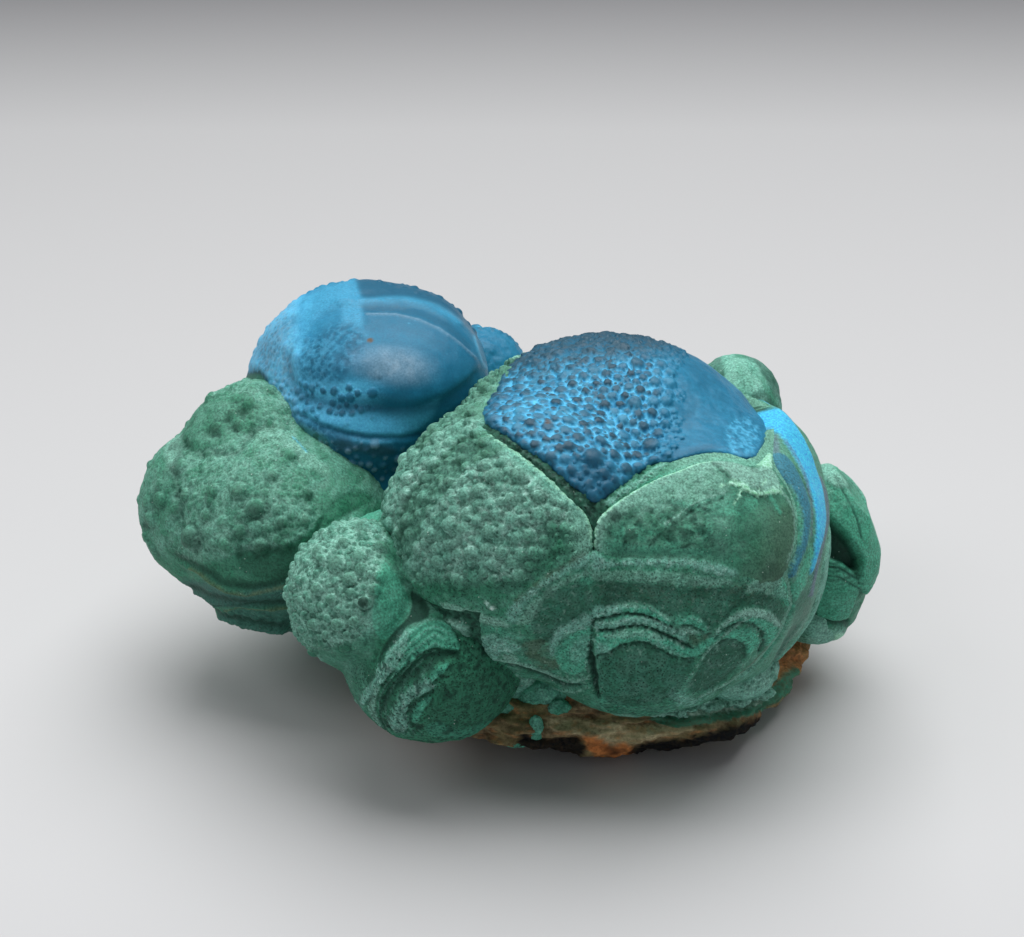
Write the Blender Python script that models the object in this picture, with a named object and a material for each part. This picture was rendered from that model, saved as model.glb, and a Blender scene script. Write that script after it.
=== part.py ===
"""Botryoidal chrysocolla and malachite: a cabinet specimen, 126 x 86 x 64 mm, standing on its own host rock.

The crust is one piece. It grew as rounded lobes, each from a few neighbouring centres, so a lobe is modelled
as a blend of ellipsoids about one origin. Creases, ledges and rounded bumps are added along the lobe's own
directions, and the lobes are then fused into one solid. The host rock under the crust is the second piece.
Metres, +Z up, origin on the floor under the middle of the specimen, front of the specimen towards -Y.
"""

import math

import bmesh
import bpy
import numpy as np
from mathutils import Matrix, Vector, noise
from mathutils.kdtree import KDTree

MM = 0.001

# Driving dimensions, in millimetres
BLEND = 0.8              # how softly the growth centres of one lobe run together
FUSE_VOXEL = 0.7         # grain of the fused crust
CRUST_KEEP = 0.044       # share of the fused crust's triangles that is kept
ROCK_GAP = 0.3           # clearance between the crust and the rock it grew on
BUMP_SPACING = 4.4       # the larger botryoidal bumps
BUMP_HEIGHT = 0.95
SEED = 7

# A growth centre is (x, y, z), (radius x, y, z), tilt about Y in degrees.
FRONT_ORIGIN = (20, -8, 34)
FRONT_CENTRES = [
    ((17.0, -1.5, 39.0), (28, 26, 24), 3),       # the blue cap
    ((4.5, -17.5, 38.5), (24, 23, 23), 0),       # the left green dome
    ((29.0, -19.0, 37.5), (22, 21, 19.5), 0),    # the right green dome
    ((21.5, -22.5, 28.5), (21, 19, 17), 0),      # the terraced foot
    ((29.0, -10.5, 32.0), (24, 24, 25), 0),      # the ribboned right flank
]
LEFT_ORIGIN = (-40, 3.5, 29)
LEFT_CENTRES = [
    ((-37.5, -0.5, 31.5), (18.5, 18, 16), 0),    # the bumpy face
    ((-42.0, 9.0, 36.0), (14.5, 14, 15), 0),     # the shoulder below the blue lobe
    ((-48.0, 4.5, 30.0), (15, 14, 15), 0),       # the smooth outer strip
    ((-39.0, 0.0, 23.0), (14, 14, 12), 0),       # the terraced underside
]
BLUE_ORIGIN = (-24, 17, 43)
BLUE_CENTRES = [
    ((-24.5, 22.0, 42.0), (21.5, 19.5, 20), 0),  # the bumpy outer ridge
    ((-20.0, 14.5, 51.0), (16, 14, 10), 8),      # the smooth inner dome
    ((-24.0, 11.5, 46.5), (14, 14, 8), 6),       # first shelf below it
    ((-24.5, 9.5, 43.0), (12, 12, 8), 6),        # second shelf
    ((-23.5, 9.5, 37.0), (12, 12, 8), 6),        # dark lowest shelf
]
SMALL_ORIGIN = (-18, -26.5, 28)
SMALL_CENTRES = [
    ((-22.5, -25.5, 32.0), (12, 12, 12), 0),     # the bumpy crown
    ((-11.5, -28.0, 23.0), (14.5, 15, 14), 0),   # the terraced belly
]
# Plain lobes, each grown from one centre
PLAIN_LOBES = [
    ((-19.5, -13.0, 33.5), (6.5, 6, 6), 0),      # bud behind the small front lobe
    ((-16.0, -3.0, 22.0), (13, 12, 13), 0),      # floor of the crevice between the lobes
    ((-5.0, 34.5, 40.0), (9, 9, 9), 0),          # small blue lobe behind the blue lobe
    ((41.0, 25.0, 40.0), (8, 10, 8), 0),         # mint-green bump behind the cap
    ((55.0, 1.0, 22.0), (8, 10, 16), 0),         # broken shell at the far right
    ((53.0, 0.0, 13.0), (7, 8, 6), 0),           # its rolled lower end
    ((1.5, -21.0, 15.5), (5, 6, 6), 0),          # buds along the foot of the front lobe
    ((20.0, -25.0, 14.5), (6, 6, 5), 0),
    ((37.0, -20.0, 14.5), (8, 7, 5), 0),
    ((-31.0, 2.0, 13.0), (3.5, 3.5, 3.5), 0),    # knob under the left lobe
]

# Lobes of the rear side, each with ledges round its foot and bumps on its crown
REAR_LOBES = [
    ((6.0, 14.5, 28.0), (20, 20, 20), 0),        # saddle between the large lobes
    ((33.0, 18.5, 28.0), (20, 18, 17), 0),       # rear right lobe
    ((-20.0, 22.5, 26.0), (22, 18, 16), 0),      # rear left lobe
    ((9.0, 29.5, 27.0), (14, 12, 13), 0),        # rear middle lobe
    ((26.0, 31.0, 20.0), (11, 10, 10), 0),       # low rear lobe
]

# Lines on a lobe are (azimuth, elevation) in degrees about its origin: azimuth 0 is the front (-Y), +90 is +X.
# Height and width are in mm. A crease is a V on the line, a ledge drops on the line's right-hand side.
FRONT_CREASES = [
    ([(-85, 62), (-63, 45), (-44, 44), (-27, 41), (-15, 37)], -2.8, 2.0),          # blue cap, left edge
    ([(-15, 37), (1, 47), (23, 52), (51, 47), (68, 38), (95, 40)], -2.4, 2.0),     # blue cap, right edge
    ([(-15, 37), (-15, 31), (-13, 24)], -1.8, 1.6),                                # between the green domes
    ([(-13, 24), (-13, 11), (-12, -4), (-11, -20)], -1.4, 1.0),                    # the crack
    ([(-63, 45), (-67, 37), (-69, 27), (-68, 17)], -1.0, 2.0),                     # mossy shoulder
    ([(-85, 62), (-125, 46), (-170, 40), (145, 30), (115, 34), (95, 40)], -2.4, 2.0),  # blue cap, rear edge
    ([(-170, 40), (-165, 20), (-172, 0)], -1.6, 1.8),                              # between the rear domes
]
FRONT_LEDGES = [
    ([(-13, 24), (0, 22), (17, 20), (28, 15), (42, 13)], 2.0, 0.8),                # sugary ledge
    ([(-44, 0), (-36, 3), (-29, 9), (-21, 18), (-13, 24)], 2.0, 0.8),              # its left half
    ([(-12, 8), (1, 9), (9, 5), (20, 1), (28, 7), (39, 0)], 1.8, 0.7),             # banded ledge
    ([(-12, -6), (1, 0), (14, -5), (24, -4)], 2.0, 0.8),                           # pitted scoop
    ([(-24, -19), (-23, -5), (-20, 2), (-13, 7)], 1.6, 0.7),                       # its left half
    ([(68, 38), (57, 27), (50, 17), (44, 7), (40, -8)], -1.6, 0.8),                # inner ribbon
    ([(95, 34), (82, 22), (72, 8), (66, -12)], -2.0, 0.8),                         # outer ribbon
]
LEFT_CREASES = [
    ([(-93, 44), (-53, 58), (1, 53), (25, 77)], -1.4, 2.0),                        # under the shoulder
    ([(-92, 45), (-63, 24), (-44, 0), (-25, -20)], -1.2, 1.8),                     # along the smooth strip
]
LEFT_LEDGES = [
    ([(-52, -17), (-15, -6), (8, -9), (40, 0)], 2.0, 0.8),
    ([(-45, -34), (-15, -28), (13, -31), (45, -24)], 2.0, 0.8),
]
BLUE_LEDGES = [
    ([(-61, 49), (-34, 36), (-6, 28), (21, 24), (47, 26), (83, 29)], 2.0, 0.9),    # foot of the inner dome
    ([(-56, 30), (-24, 18), (2, 13), (28, 15)], 1.8, 0.9),
    ([(-40, 16), (-12, 3), (12, -2)], 1.6, 0.9),
]
BLUE_CREASES = [
    ([(-61, 49), (-84, 72), (123, 75), (91, 51), (83, 34)], -1.2, 1.4),            # round the inner dome's back
    ([(-105, 12), (-140, 22), (175, 12), (135, 20), (105, 4)], -2.0, 1.8),         # where blue meets green, rear
]
SMALL_CREASES = [([(29, 75), (35, 54), (6, 31), (-12, 0), (-39, -19)], -1.6, 1.6)]  # the neck under the crown
SMALL_LEDGES = [
    ([(34, 24), (3, 3), (-9, -22), (-7, -50)], -1.6, 0.8),
    ([(44, 7), (15, -9), (8, -36), (8, -60)], -1.6, 0.8),
]
REAR_LEDGES = [
    ([(turn, -4 + 5 * (turn % 2)) for turn in range(0, 361, 45)], 1.8, 0.8),
    ([(turn, -26 + 5 * (turn % 2)) for turn in range(0, 361, 45)], 1.8, 0.8),
]

# The host rock: centre, radii, and how far its roughness reaches, mm
ROCK_CENTRE = (14, -1.5, 7)
ROCK_RADII = (39, 30, 10)
ROCK_ROUGH = 3.5


def turn_about_y(degrees):
    return np.array(Matrix.Rotation(math.radians(degrees), 3, "Y"))


def lobe_radius(origin, directions, centres):
    """Distance from the origin to the blended surface of the growth centres, along unit directions."""
    reach = []
    for centre, radii, tilt in centres:
        basis = turn_about_y(tilt)
        start = ((np.array(origin, float) - centre) @ basis) / radii
        ray = (directions @ basis) / radii
        a = (ray * ray).sum(axis=1)
        b = ray @ start
        reach.append((-b + np.sqrt(np.maximum(b * b - a * (start @ start - 1), 0))) / a)
    reach = np.array(reach)
    top = reach.max(axis=0)
    return top + BLEND * np.log(np.exp((reach - top) / BLEND).sum(axis=0))


def direction(azimuth, elevation):
    a, e = math.radians(azimuth), math.radians(elevation)
    return np.array([math.sin(a) * math.cos(e), -math.cos(a) * math.cos(e), math.sin(e)])


def line_distance(points, directions, line):
    """Distance in mm to a line on the lobe, positive on the line's left, seen from outside."""
    best = np.full(len(points), 1e9)
    side = np.ones(len(points))
    for start, end in zip(line[:-1], line[1:]):
        span = end - start
        share = np.clip(((points - start) @ span) / (span @ span), 0, 1)
        away = points - (start + share[:, None] * span)
        distance = np.linalg.norm(away, axis=1)
        left = np.cross(directions, span)
        nearer = distance < best
        best = np.where(nearer, distance, best)
        side = np.where(nearer, np.sign((away * left).sum(axis=1)), side)
    return best * side


def dense_line(origin, centres, angles, steps=6):
    """The line's points on the lobe's surface, with its bends rounded by extra points between them."""
    directions = []
    for (a0, e0), (a1, e1) in zip(angles[:-1], angles[1:]):
        start, end = direction(a0, e0), direction(a1, e1)
        directions.extend(start + (end - start) * step / steps for step in range(steps))
    directions.append(direction(*angles[-1]))
    directions = np.array(directions)
    directions /= np.linalg.norm(directions, axis=1)[:, None]
    return np.array(origin) + directions * lobe_radius(origin, directions, centres)[:, None]


def bumps(points, rng, spacing, height):
    """Height of rounded bumps scattered over the points, none nearer to another than the spacing."""
    order = rng.permutation(len(points))
    seeds = []
    tree = KDTree(len(points))
    for index, point in enumerate(points):
        tree.insert(point, index)
    tree.balance()
    taken = np.zeros(len(points), bool)
    for index in order:
        if taken[index]:
            continue
        seeds.append(index)
        reach = spacing * rng.uniform(0.85, 1.3)
        for _, near, _ in tree.find_range(points[index], reach):
            taken[near] = True
    relief = np.zeros(len(points))
    for index in seeds:
        radius = spacing * rng.uniform(0.42, 0.62)
        for _, near, distance in tree.find_range(points[index], radius):
            relief[near] = max(relief[near], height * (1 - (distance / radius) ** 2))
    return relief


def sphere_mesh(name, detail):
    mesh = bmesh.new()
    bmesh.ops.create_icosphere(mesh, subdivisions=detail, radius=1.0)
    data = bpy.data.meshes.new(name)
    mesh.to_mesh(data)
    mesh.free()
    return data


def mesh_points(data):
    points = np.empty(len(data.vertices) * 3)
    data.vertices.foreach_get("co", points)
    return points.reshape(-1, 3)


def set_points(data, points_mm):
    data.vertices.foreach_set("co", (points_mm * MM).ravel())
    data.update()


def grow_lobe(name, origin, centres, creases=(), ledges=(), bumpy=None, detail=6):
    """A closed lobe: the blended surface, its creases and ledges, and bumps where bumpy() says."""
    data = sphere_mesh(name, detail)
    directions = mesh_points(data)
    directions /= np.linalg.norm(directions, axis=1)[:, None]
    radius = lobe_radius(origin, directions, centres)
    points = np.array(origin) + directions * radius[:, None]
    relief = np.zeros(len(points))
    for angles, height, width in creases:
        distance = np.abs(line_distance(points, directions, dense_line(origin, centres, angles)))
        relief += height * np.exp(-distance / width)
    for angles, height, width in ledges:
        distance = line_distance(points, directions, dense_line(origin, centres, angles))
        near = np.exp(-np.maximum(np.abs(distance) - 2.5, 0) / 3.0)
        relief += height * 0.5 * np.tanh(distance / width) * near
    if bumpy is not None:
        rng = np.random.default_rng(SEED + len(name))
        relief += bumps(points, rng, BUMP_SPACING, BUMP_HEIGHT) * bumpy(directions)
    set_points(data, points + directions * relief[:, None])
    return bpy.data.objects.new(name, data)


def patch(azimuth, elevation, reach, fade=18):
    """A round patch of the lobe: 1 within reach degrees of the direction, fading to 0 over the fade."""
    axis = direction(azimuth, elevation)

    def weight(directions):
        angle = np.degrees(np.arccos(np.clip(directions @ axis, -1, 1)))
        return np.clip((reach + fade - angle) / fade, 0, 1)

    return weight


def join_meshes(name, items):
    """All the meshes in one object, still overlapping."""
    merged = bmesh.new()
    for item in items:
        merged.from_mesh(item.data)
        bpy.data.objects.remove(item)
    data = bpy.data.meshes.new(name)
    merged.to_mesh(data)
    merged.free()
    return bpy.data.objects.new(name, data)


def paint(item, name, colour, roughness):
    material = bpy.data.materials.new(name)
    material.use_nodes = True
    shader = material.node_tree.nodes["Principled BSDF"]
    shader.inputs["Base Color"].default_value = (*colour, 1)
    shader.inputs["Roughness"].default_value = roughness
    shader.inputs["Metallic"].default_value = 0
    item.data.materials.clear()
    item.data.materials.append(material)


def front_bumps(directions):
    cap = patch(-22, 62, 34)(directions)
    rear = patch(-165, 5, 45)(directions)
    left = patch(-48, 22, 26)(directions)
    right = patch(5, 34, 14)(directions)
    return np.maximum.reduce([cap, left, right * 0.7, rear])


def left_bumps(directions):
    return np.maximum(patch(5, 12, 34)(directions), patch(-20, 55, 14)(directions) * 0.6)


def blue_bumps(directions):
    return np.maximum(patch(-60, 35, 32)(directions), patch(165, -5, 60)(directions))


def small_bumps(directions):
    return patch(-50, 28, 55)(directions)


def build_crust():
    lobes = [
        grow_lobe("front_lobe", FRONT_ORIGIN, FRONT_CENTRES, FRONT_CREASES, FRONT_LEDGES, front_bumps, 7),
        grow_lobe("left_lobe", LEFT_ORIGIN, LEFT_CENTRES, LEFT_CREASES, LEFT_LEDGES, left_bumps),
        grow_lobe("blue_lobe", BLUE_ORIGIN, BLUE_CENTRES, BLUE_CREASES, BLUE_LEDGES, blue_bumps),
        grow_lobe("small_lobe", SMALL_ORIGIN, SMALL_CENTRES, SMALL_CREASES, SMALL_LEDGES, small_bumps),
    ]
    for index, lobe in enumerate(REAR_LOBES):
        crown = patch(180, 35, 40)
        lobes.append(grow_lobe(f"rear_lobe_{index}", lobe[0], [lobe], ledges=REAR_LEDGES, bumpy=crown))
    for index, lobe in enumerate(PLAIN_LOBES):
        lobes.append(grow_lobe(f"plain_lobe_{index}", lobe[0], [lobe], detail=5))
    crust = join_meshes("botryoidal_crust", lobes)
    bpy.context.scene.collection.objects.link(crust)
    fuse = crust.modifiers.new("fuse", "REMESH")
    fuse.mode = "VOXEL"
    fuse.voxel_size = FUSE_VOXEL * MM
    thin = crust.modifiers.new("thin", "DECIMATE")
    thin.ratio = CRUST_KEEP
    thin.use_collapse_triangulate = True
    return crust


def rock_form(name, grown=0.0):
    """The host rock's rough form, cut flat where it stands; grown is extra size all round, in mm."""
    data = sphere_mesh(name, 4)
    directions = mesh_points(data)
    directions /= np.linalg.norm(directions, axis=1)[:, None]
    rough = np.array([noise.fractal(Vector(way * 1.7), 0.7, 2.1, 4) for way in directions])
    points = np.array(ROCK_CENTRE) + directions * ROCK_RADII + directions * (rough * ROCK_ROUGH + grown)[:, None]
    # it narrows downwards, so the crust overhangs the face that it stands on
    below = np.clip((ROCK_CENTRE[2] - points[:, 2]) / ROCK_CENTRE[2], 0, 1)
    points[:, :2] = np.array(ROCK_CENTRE[:2]) + (points[:, :2] - ROCK_CENTRE[:2]) * (1 - 0.12 * below)[:, None]
    set_points(data, points)
    mesh = bmesh.new()
    mesh.from_mesh(data)
    if not grown:
        everything = mesh.verts[:] + mesh.edges[:] + mesh.faces[:]
        bmesh.ops.bisect_plane(mesh, geom=everything, plane_co=(0, 0, 0), plane_no=(0, 0, -1), clear_outer=True)
        bmesh.ops.holes_fill(mesh, edges=[edge for edge in mesh.edges if edge.is_boundary])
        bmesh.ops.recalc_face_normals(mesh, faces=mesh.faces)
    mesh.to_mesh(data)
    mesh.free()
    item = bpy.data.objects.new(name, data)
    bpy.context.scene.collection.objects.link(item)
    return item


def main():
    for item in list(bpy.data.objects):
        bpy.data.objects.remove(item)
    crust = build_crust()
    rock = rock_form("limonite_matrix")
    hollow = rock_form("rock_hollow", grown=ROCK_GAP)
    hollow.hide_render = True
    hollow.display_type = "WIRE"
    cut = crust.modifiers.new("rock_hollow", "BOOLEAN")
    cut.operation = "DIFFERENCE"
    cut.solver = "EXACT"
    cut.object = hollow
    paint(crust, "malachite and chrysocolla", (0.07, 0.24, 0.19), 0.6)
    paint(rock, "limonite", (0.13, 0.08, 0.04), 0.9)


main()
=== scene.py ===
"""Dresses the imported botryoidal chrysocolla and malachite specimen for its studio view.

Every lobe of the crust grew about its own centre, so each is drawn as a closed star-shaped skin: a blend of
ellipsoids about one origin, in millimetres, with relief along the directions from that origin. The relief is
made of growth lines, ledges, crowded round bumps and grain, and the same marks steer the colours.
"""

import math
from functools import cached_property

import bmesh
import bpy
import numpy as np
from bpy.props import FloatProperty, FloatVectorProperty, IntProperty, PointerProperty
from mathutils import Matrix, Vector, noise
from mathutils.kdtree import KDTree


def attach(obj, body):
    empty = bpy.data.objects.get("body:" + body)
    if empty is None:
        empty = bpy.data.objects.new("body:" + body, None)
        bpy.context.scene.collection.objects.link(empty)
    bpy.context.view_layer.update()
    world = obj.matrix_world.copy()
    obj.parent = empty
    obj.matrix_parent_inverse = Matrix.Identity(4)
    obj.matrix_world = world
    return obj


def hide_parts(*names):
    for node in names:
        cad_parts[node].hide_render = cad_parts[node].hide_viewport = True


bl_info = {
    "name": "Botryoidal chrysocolla and malachite",
    "version": (1, 0, 0),
    "blender": (4, 5, 0),
    "location": "View3D > Sidebar > Specimen",
    "description": "Builds the dressed mineral specimen and its studio around the packed frame",
    "category": "Object",
}

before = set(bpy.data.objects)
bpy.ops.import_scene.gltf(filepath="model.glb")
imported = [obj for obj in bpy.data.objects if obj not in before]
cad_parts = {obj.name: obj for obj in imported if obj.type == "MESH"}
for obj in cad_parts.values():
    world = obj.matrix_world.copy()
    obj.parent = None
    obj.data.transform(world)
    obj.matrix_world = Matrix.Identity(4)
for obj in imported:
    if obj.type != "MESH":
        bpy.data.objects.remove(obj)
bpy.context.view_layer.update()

MM = 0.001
SEED = 11
FAR = 12.0                      # distances to a line are measured up to this, mm
BLEND = 0.8                     # how softly the growth centres of one lobe run together, mm

# The camera stands where the photograph was taken from. Sizes in mm, lens and sensor in mm, tilt in degrees.
PHOTO_WIDTH, PHOTO_HEIGHT = 1024, 937
LENS, SENSOR = 70.0, 36.0
CAMERA_TARGET = (1.0, -8.5, 45.5)
CAMERA_DISTANCE = 323.0
CAMERA_TILT = 30.0
FORWARD = np.array([0.0, math.cos(math.radians(CAMERA_TILT)), -math.sin(math.radians(CAMERA_TILT))])
UPWARD = np.array([0.0, math.sin(math.radians(CAMERA_TILT)), math.cos(math.radians(CAMERA_TILT))])
EYE = np.array(CAMERA_TARGET) - CAMERA_DISTANCE * FORWARD
FOCAL_PX = LENS / SENSOR * PHOTO_WIDTH
PX_MM = 0.162                   # one pixel at the camera's target
NEAREST, FARTHEST = 220.0, 400.0  # the specimen lies between these distances from the camera, mm
RAY_STEP = 0.2                  # how finely a line of sight is followed, mm


def curve(ring, steps):
    """Points along a smooth curve through a row of points, from the second to before the last but one."""
    dense = []
    for p0, p1, p2, p3 in zip(ring[:-3], ring[1:-2], ring[2:-1], ring[3:]):
        for step in range(steps):
            t = step / steps
            dense.append(0.5 * (2 * p1 + (p2 - p0) * t + (2 * p0 - 5 * p1 + 4 * p2 - p3) * t * t
                                + (3 * p1 - p0 - 3 * p2 + p3) * t ** 3))
    return dense


def srgb(text):
    """A hex sRGB colour as linear RGBA."""
    parts = [int(text[place:place + 2], 16) / 255 for place in (1, 3, 5)]
    return tuple(p / 12.92 if p <= 0.04045 else ((p + 0.055) / 1.055) ** 2.4 for p in parts) + (1.0,)


# forms, the same as the solid part's, in mm


class Form:
    """A lobe's smooth shape: growth centres (centre, radii, tilt about Y in degrees) blended together."""

    def __init__(self, origin, centres):
        self.origin = np.array(origin, float)
        self.centres = centres

    def radius(self, ways):
        reach = []
        for centre, radii, tilt in self.centres:
            basis = np.array(Matrix.Rotation(math.radians(tilt), 3, "Y"))
            start = ((self.origin - centre) @ basis) / radii
            ray = (ways @ basis) / radii
            a = (ray * ray).sum(axis=1)
            b = ray @ start
            reach.append((-b + np.sqrt(np.maximum(b * b - a * (start @ start - 1), 0))) / a)
        reach = np.array(reach)
        top = reach.max(axis=0)
        return top + BLEND * np.log(np.exp((reach - top) / BLEND).sum(axis=0))

    def ways_to(self, points):
        away = points - self.origin
        return away / np.maximum(np.linalg.norm(away, axis=1), 1e-6)[:, None]

    def surface(self, ways):
        return self.origin + ways * self.radius(ways)[:, None]

    def depth(self, points):
        """How deep the points lie inside the form, along its own directions; negative outside."""
        return self.radius(self.ways_to(points)) - np.linalg.norm(points - self.origin, axis=1)

    def under(self, pixels):
        """The surface points that the photograph shows at the pixels, or the nearest ones on the outline."""
        found = []
        steps = np.arange(NEAREST, FARTHEST, RAY_STEP)
        for px, py in pixels:
            ray = FORWARD + np.array([1.0, 0, 0]) * (px - PHOTO_WIDTH / 2) / FOCAL_PX
            ray = ray + UPWARD * (PHOTO_HEIGHT / 2 - py) / FOCAL_PX
            ray /= np.linalg.norm(ray)
            along = EYE + ray * steps[:, None]
            depth = self.depth(along)
            hit = np.argmax(depth > 0) if (depth > 0).any() else np.argmax(depth)
            found.append(along[hit])
        return self.surface(self.ways_to(np.array(found)))

    def at(self, angles):
        """The surface points at (azimuth, elevation) about the origin: azimuth 0 is the front, +90 is +X."""
        turns = np.radians(np.array(angles, float))
        ways = np.stack([np.sin(turns[:, 0]) * np.cos(turns[:, 1]),
                         -np.cos(turns[:, 0]) * np.cos(turns[:, 1]), np.sin(turns[:, 1])], axis=1)
        return self.surface(ways)

    def line(self, pixels=(), angles=(), closed=False, steps=4):
        """A line on the surface through photo pixels and then angles, with its bends rounded."""
        points = np.vstack([self.under(pixels) if len(pixels) else np.empty((0, 3)),
                            self.at(angles) if len(angles) else np.empty((0, 3))])
        if closed:
            ring = np.vstack([points[-1:], points, points[:2]])
        else:
            ring = np.vstack([2 * points[:1] - points[1:2], points, 2 * points[-1:] - points[-2:-1]])
        dense = curve(ring, steps) + [ring[-2]]
        return self.surface(self.ways_to(np.array(dense)))

    def loop(self, pixels=(), angles=()):
        """A closed line on the surface, without its first point again at its end."""
        return self.line(pixels, angles, closed=True)[:-1]


def photo_pixels(points):
    """Where the camera sees the points, in the photograph's pixels."""
    away = points - EYE
    far = away @ FORWARD
    return PHOTO_WIDTH / 2 + FOCAL_PX * away[:, 0] / far, PHOTO_HEIGHT / 2 - FOCAL_PX * (away @ UPWARD) / far


FRONT = Form((20, -8, 34), [
    ((17.0, -1.5, 39.0), (28, 26, 24), 3),
    ((4.5, -17.5, 38.5), (24, 23, 23), 0),
    ((29.0, -19.0, 37.5), (22, 21, 19.5), 0),
    ((21.5, -22.5, 28.5), (21, 19, 17), 0),
    ((29.0, -10.5, 32.0), (24, 24, 25), 0),
])
LEFT = Form((-40, 3.5, 29), [
    ((-37.5, -0.5, 31.5), (18.5, 18, 16), 0),
    ((-42.0, 9.0, 36.0), (14.5, 14, 15), 0),
    ((-48.0, 4.5, 30.0), (15, 14, 15), 0),
    ((-39.0, 0.0, 23.0), (14, 14, 12), 0),
])
BLUE = Form((-24, 17, 43), [
    ((-24.5, 22.0, 42.0), (21.5, 19.5, 20), 0),
    ((-20.0, 14.5, 51.0), (16, 14, 10), 8),
    ((-24.0, 11.5, 46.5), (14, 14, 8), 6),
    ((-24.5, 9.5, 43.0), (12, 12, 8), 6),
    ((-23.5, 9.5, 37.0), (12, 12, 8), 6),
])
SMALL = Form((-18, -26.5, 28), [
    ((-22.5, -25.5, 32.0), (12, 12, 12), 0),
    ((-11.5, -28.0, 23.0), (14.5, 15, 14), 0),
])


def plain(centre, radii):
    return Form(centre, [(centre, radii, 0)])


REAR = [
    plain((6.0, 14.5, 28.0), (20, 20, 20)),
    plain((33.0, 18.5, 28.0), (20, 18, 17)),
    plain((-20.0, 22.5, 26.0), (22, 18, 16)),
    plain((9.0, 29.5, 27.0), (14, 12, 13)),
    plain((26.0, 31.0, 20.0), (11, 10, 10)),
]
CREVICE = plain((-16.0, -3.0, 22.0), (13, 12, 13))
HIND_BUD = plain((-19.5, -13.0, 33.5), (6.5, 6, 6))
BLUE_BUD = plain((-5.0, 34.5, 40.0), (9, 9, 9))
MINT_BUD = plain((41.0, 25.0, 40.0), (8, 10, 8))
SHELL = plain((55.0, 1.0, 22.0), (8, 10, 16))
ROLL = plain((53.0, 0.0, 13.0), (7, 8, 6))
FOOT_BUDS = [plain((1.5, -21.0, 15.5), (5, 6, 6)), plain((20.0, -25.0, 14.5), (6, 6, 5)),
             plain((37.0, -20.0, 14.5), (8, 7, 5)), plain((-31.0, 2.0, 13.0), (3.5, 3.5, 3.5))]

HOST = plain((14.0, -1.5, 7.0), (39, 30, 10))
# Small green frills on the host rock under the front: (x, y) in pixels, then radii in mm
FRILLS = [(541, 694, 4.3, 2.2, 3.0), (560, 706, 1.8, 1.2, 1.2), (616, 699, 3.6, 2.0, 2.4),
    (634, 708, 2.0, 1.2, 1.2), (536, 728, 1.3, 1.0, 2.6), (518, 743, 2.0, 1.0, 0.9),
    (662, 706, 3.8, 1.8, 1.6), (684, 710, 2.6, 1.4, 1.1), (700, 703, 3.8, 1.8, 1.6),
    (730, 699, 3.4, 1.6, 1.4), (756, 692, 3.0, 1.6, 1.4), (505, 706, 2.6, 1.4, 1.4)]
PALE_FRILLS_FROM = 650          # frills right of this pixel are paler and rougher

# growth lines, in the photograph's pixels

CAP_SEAM = [(512, 362), (497, 382), (487, 400), (482, 421), (493, 429), (505, 436), (525, 450), (545, 463),
    (562, 478), (575, 488), (583, 495), (590, 501), (598, 502), (605, 497), (620, 487), (640, 472),
    (655, 463), (672, 461), (685, 457), (710, 452), (730, 453), (745, 457), (757, 457), (763, 450),
    (768, 440), (771, 428)]
CAP_SEAM_BEHIND = [(112, 35), (140, 31), (170, 36), (-160, 40), (-140, 44)]
LEFT_DOME_MARGIN = [(487, 432), (500, 441), (520, 455), (545, 475), (560, 490), (578, 506), (588, 518),
    (591, 532), (592, 548)]
LEFT_DOME_EDGE = [(514, 366), (499, 385), (489, 402), (482, 424)] + LEFT_DOME_MARGIN + [(588, 559),
    (580, 566), (560, 578), (540, 590), (520, 608), (508, 618), (497, 618), (480, 613), (462, 611),
    (440, 608), (428, 603), (412, 590), (400, 578)]
LEFT_DOME_BEHIND = [(-72, -6), (-95, -8), (-115, 5), (-130, 25)]
RIGHT_DOME_MARGIN = [(594, 548), (594, 532), (597, 521), (604, 513), (612, 506), (625, 496), (640, 487),
    (655, 479), (668, 474), (680, 470), (697, 463), (712, 460)]
RIGHT_DOME_RIM = [(771, 453), (776, 470), (788, 488), (795, 508), (797, 530), (794, 552), (787, 570)]
RIGHT_DOME_EDGE = RIGHT_DOME_MARGIN + [(735, 461), (752, 466), (762, 462)] + RIGHT_DOME_RIM + [(779, 580),
    (762, 583), (745, 582), (725, 579), (700, 572), (670, 569), (640, 567), (612, 566), (600, 558)]
FOOT_EDGE = [(478, 622), (488, 612), (505, 610), (517, 602), (536, 585), (556, 573), (576, 561), (588, 553),
    (604, 552), (615, 558), (640, 558), (670, 560), (700, 563), (725, 569), (745, 573), (765, 576),
    (784, 577), (790, 593), (791, 607), (784, 621), (773, 641), (758, 659), (738, 676), (718, 690)]
FOOT_BELOW = [(32, -30), (20, -38), (0, -42), (-20, -38), (-36, -24)]
CRACK = [(593, 545), (592, 575), (593, 600), (592, 625), (591, 650), (594, 675), (598, 697)]
FLANK_EDGE = [(773, 443), (777, 462), (789, 483), (799, 506), (801, 532), (798, 555), (791, 574),
    (795, 605), (789, 621), (778, 642), (763, 661), (743, 678), (722, 692), (735, 702), (765, 690),
    (778, 668), (785, 652), (800, 635), (812, 612), (820, 580), (826, 550)]
FLANK_BEHIND = [(88, 6), (98, 10), (110, 15), (122, 22), (122, 32), (113, 35)]
MOSSY_STEP = [(484, 430), (468, 436), (455, 444), (440, 460), (425, 476), (415, 488), (406, 503), (400, 525)]
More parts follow.
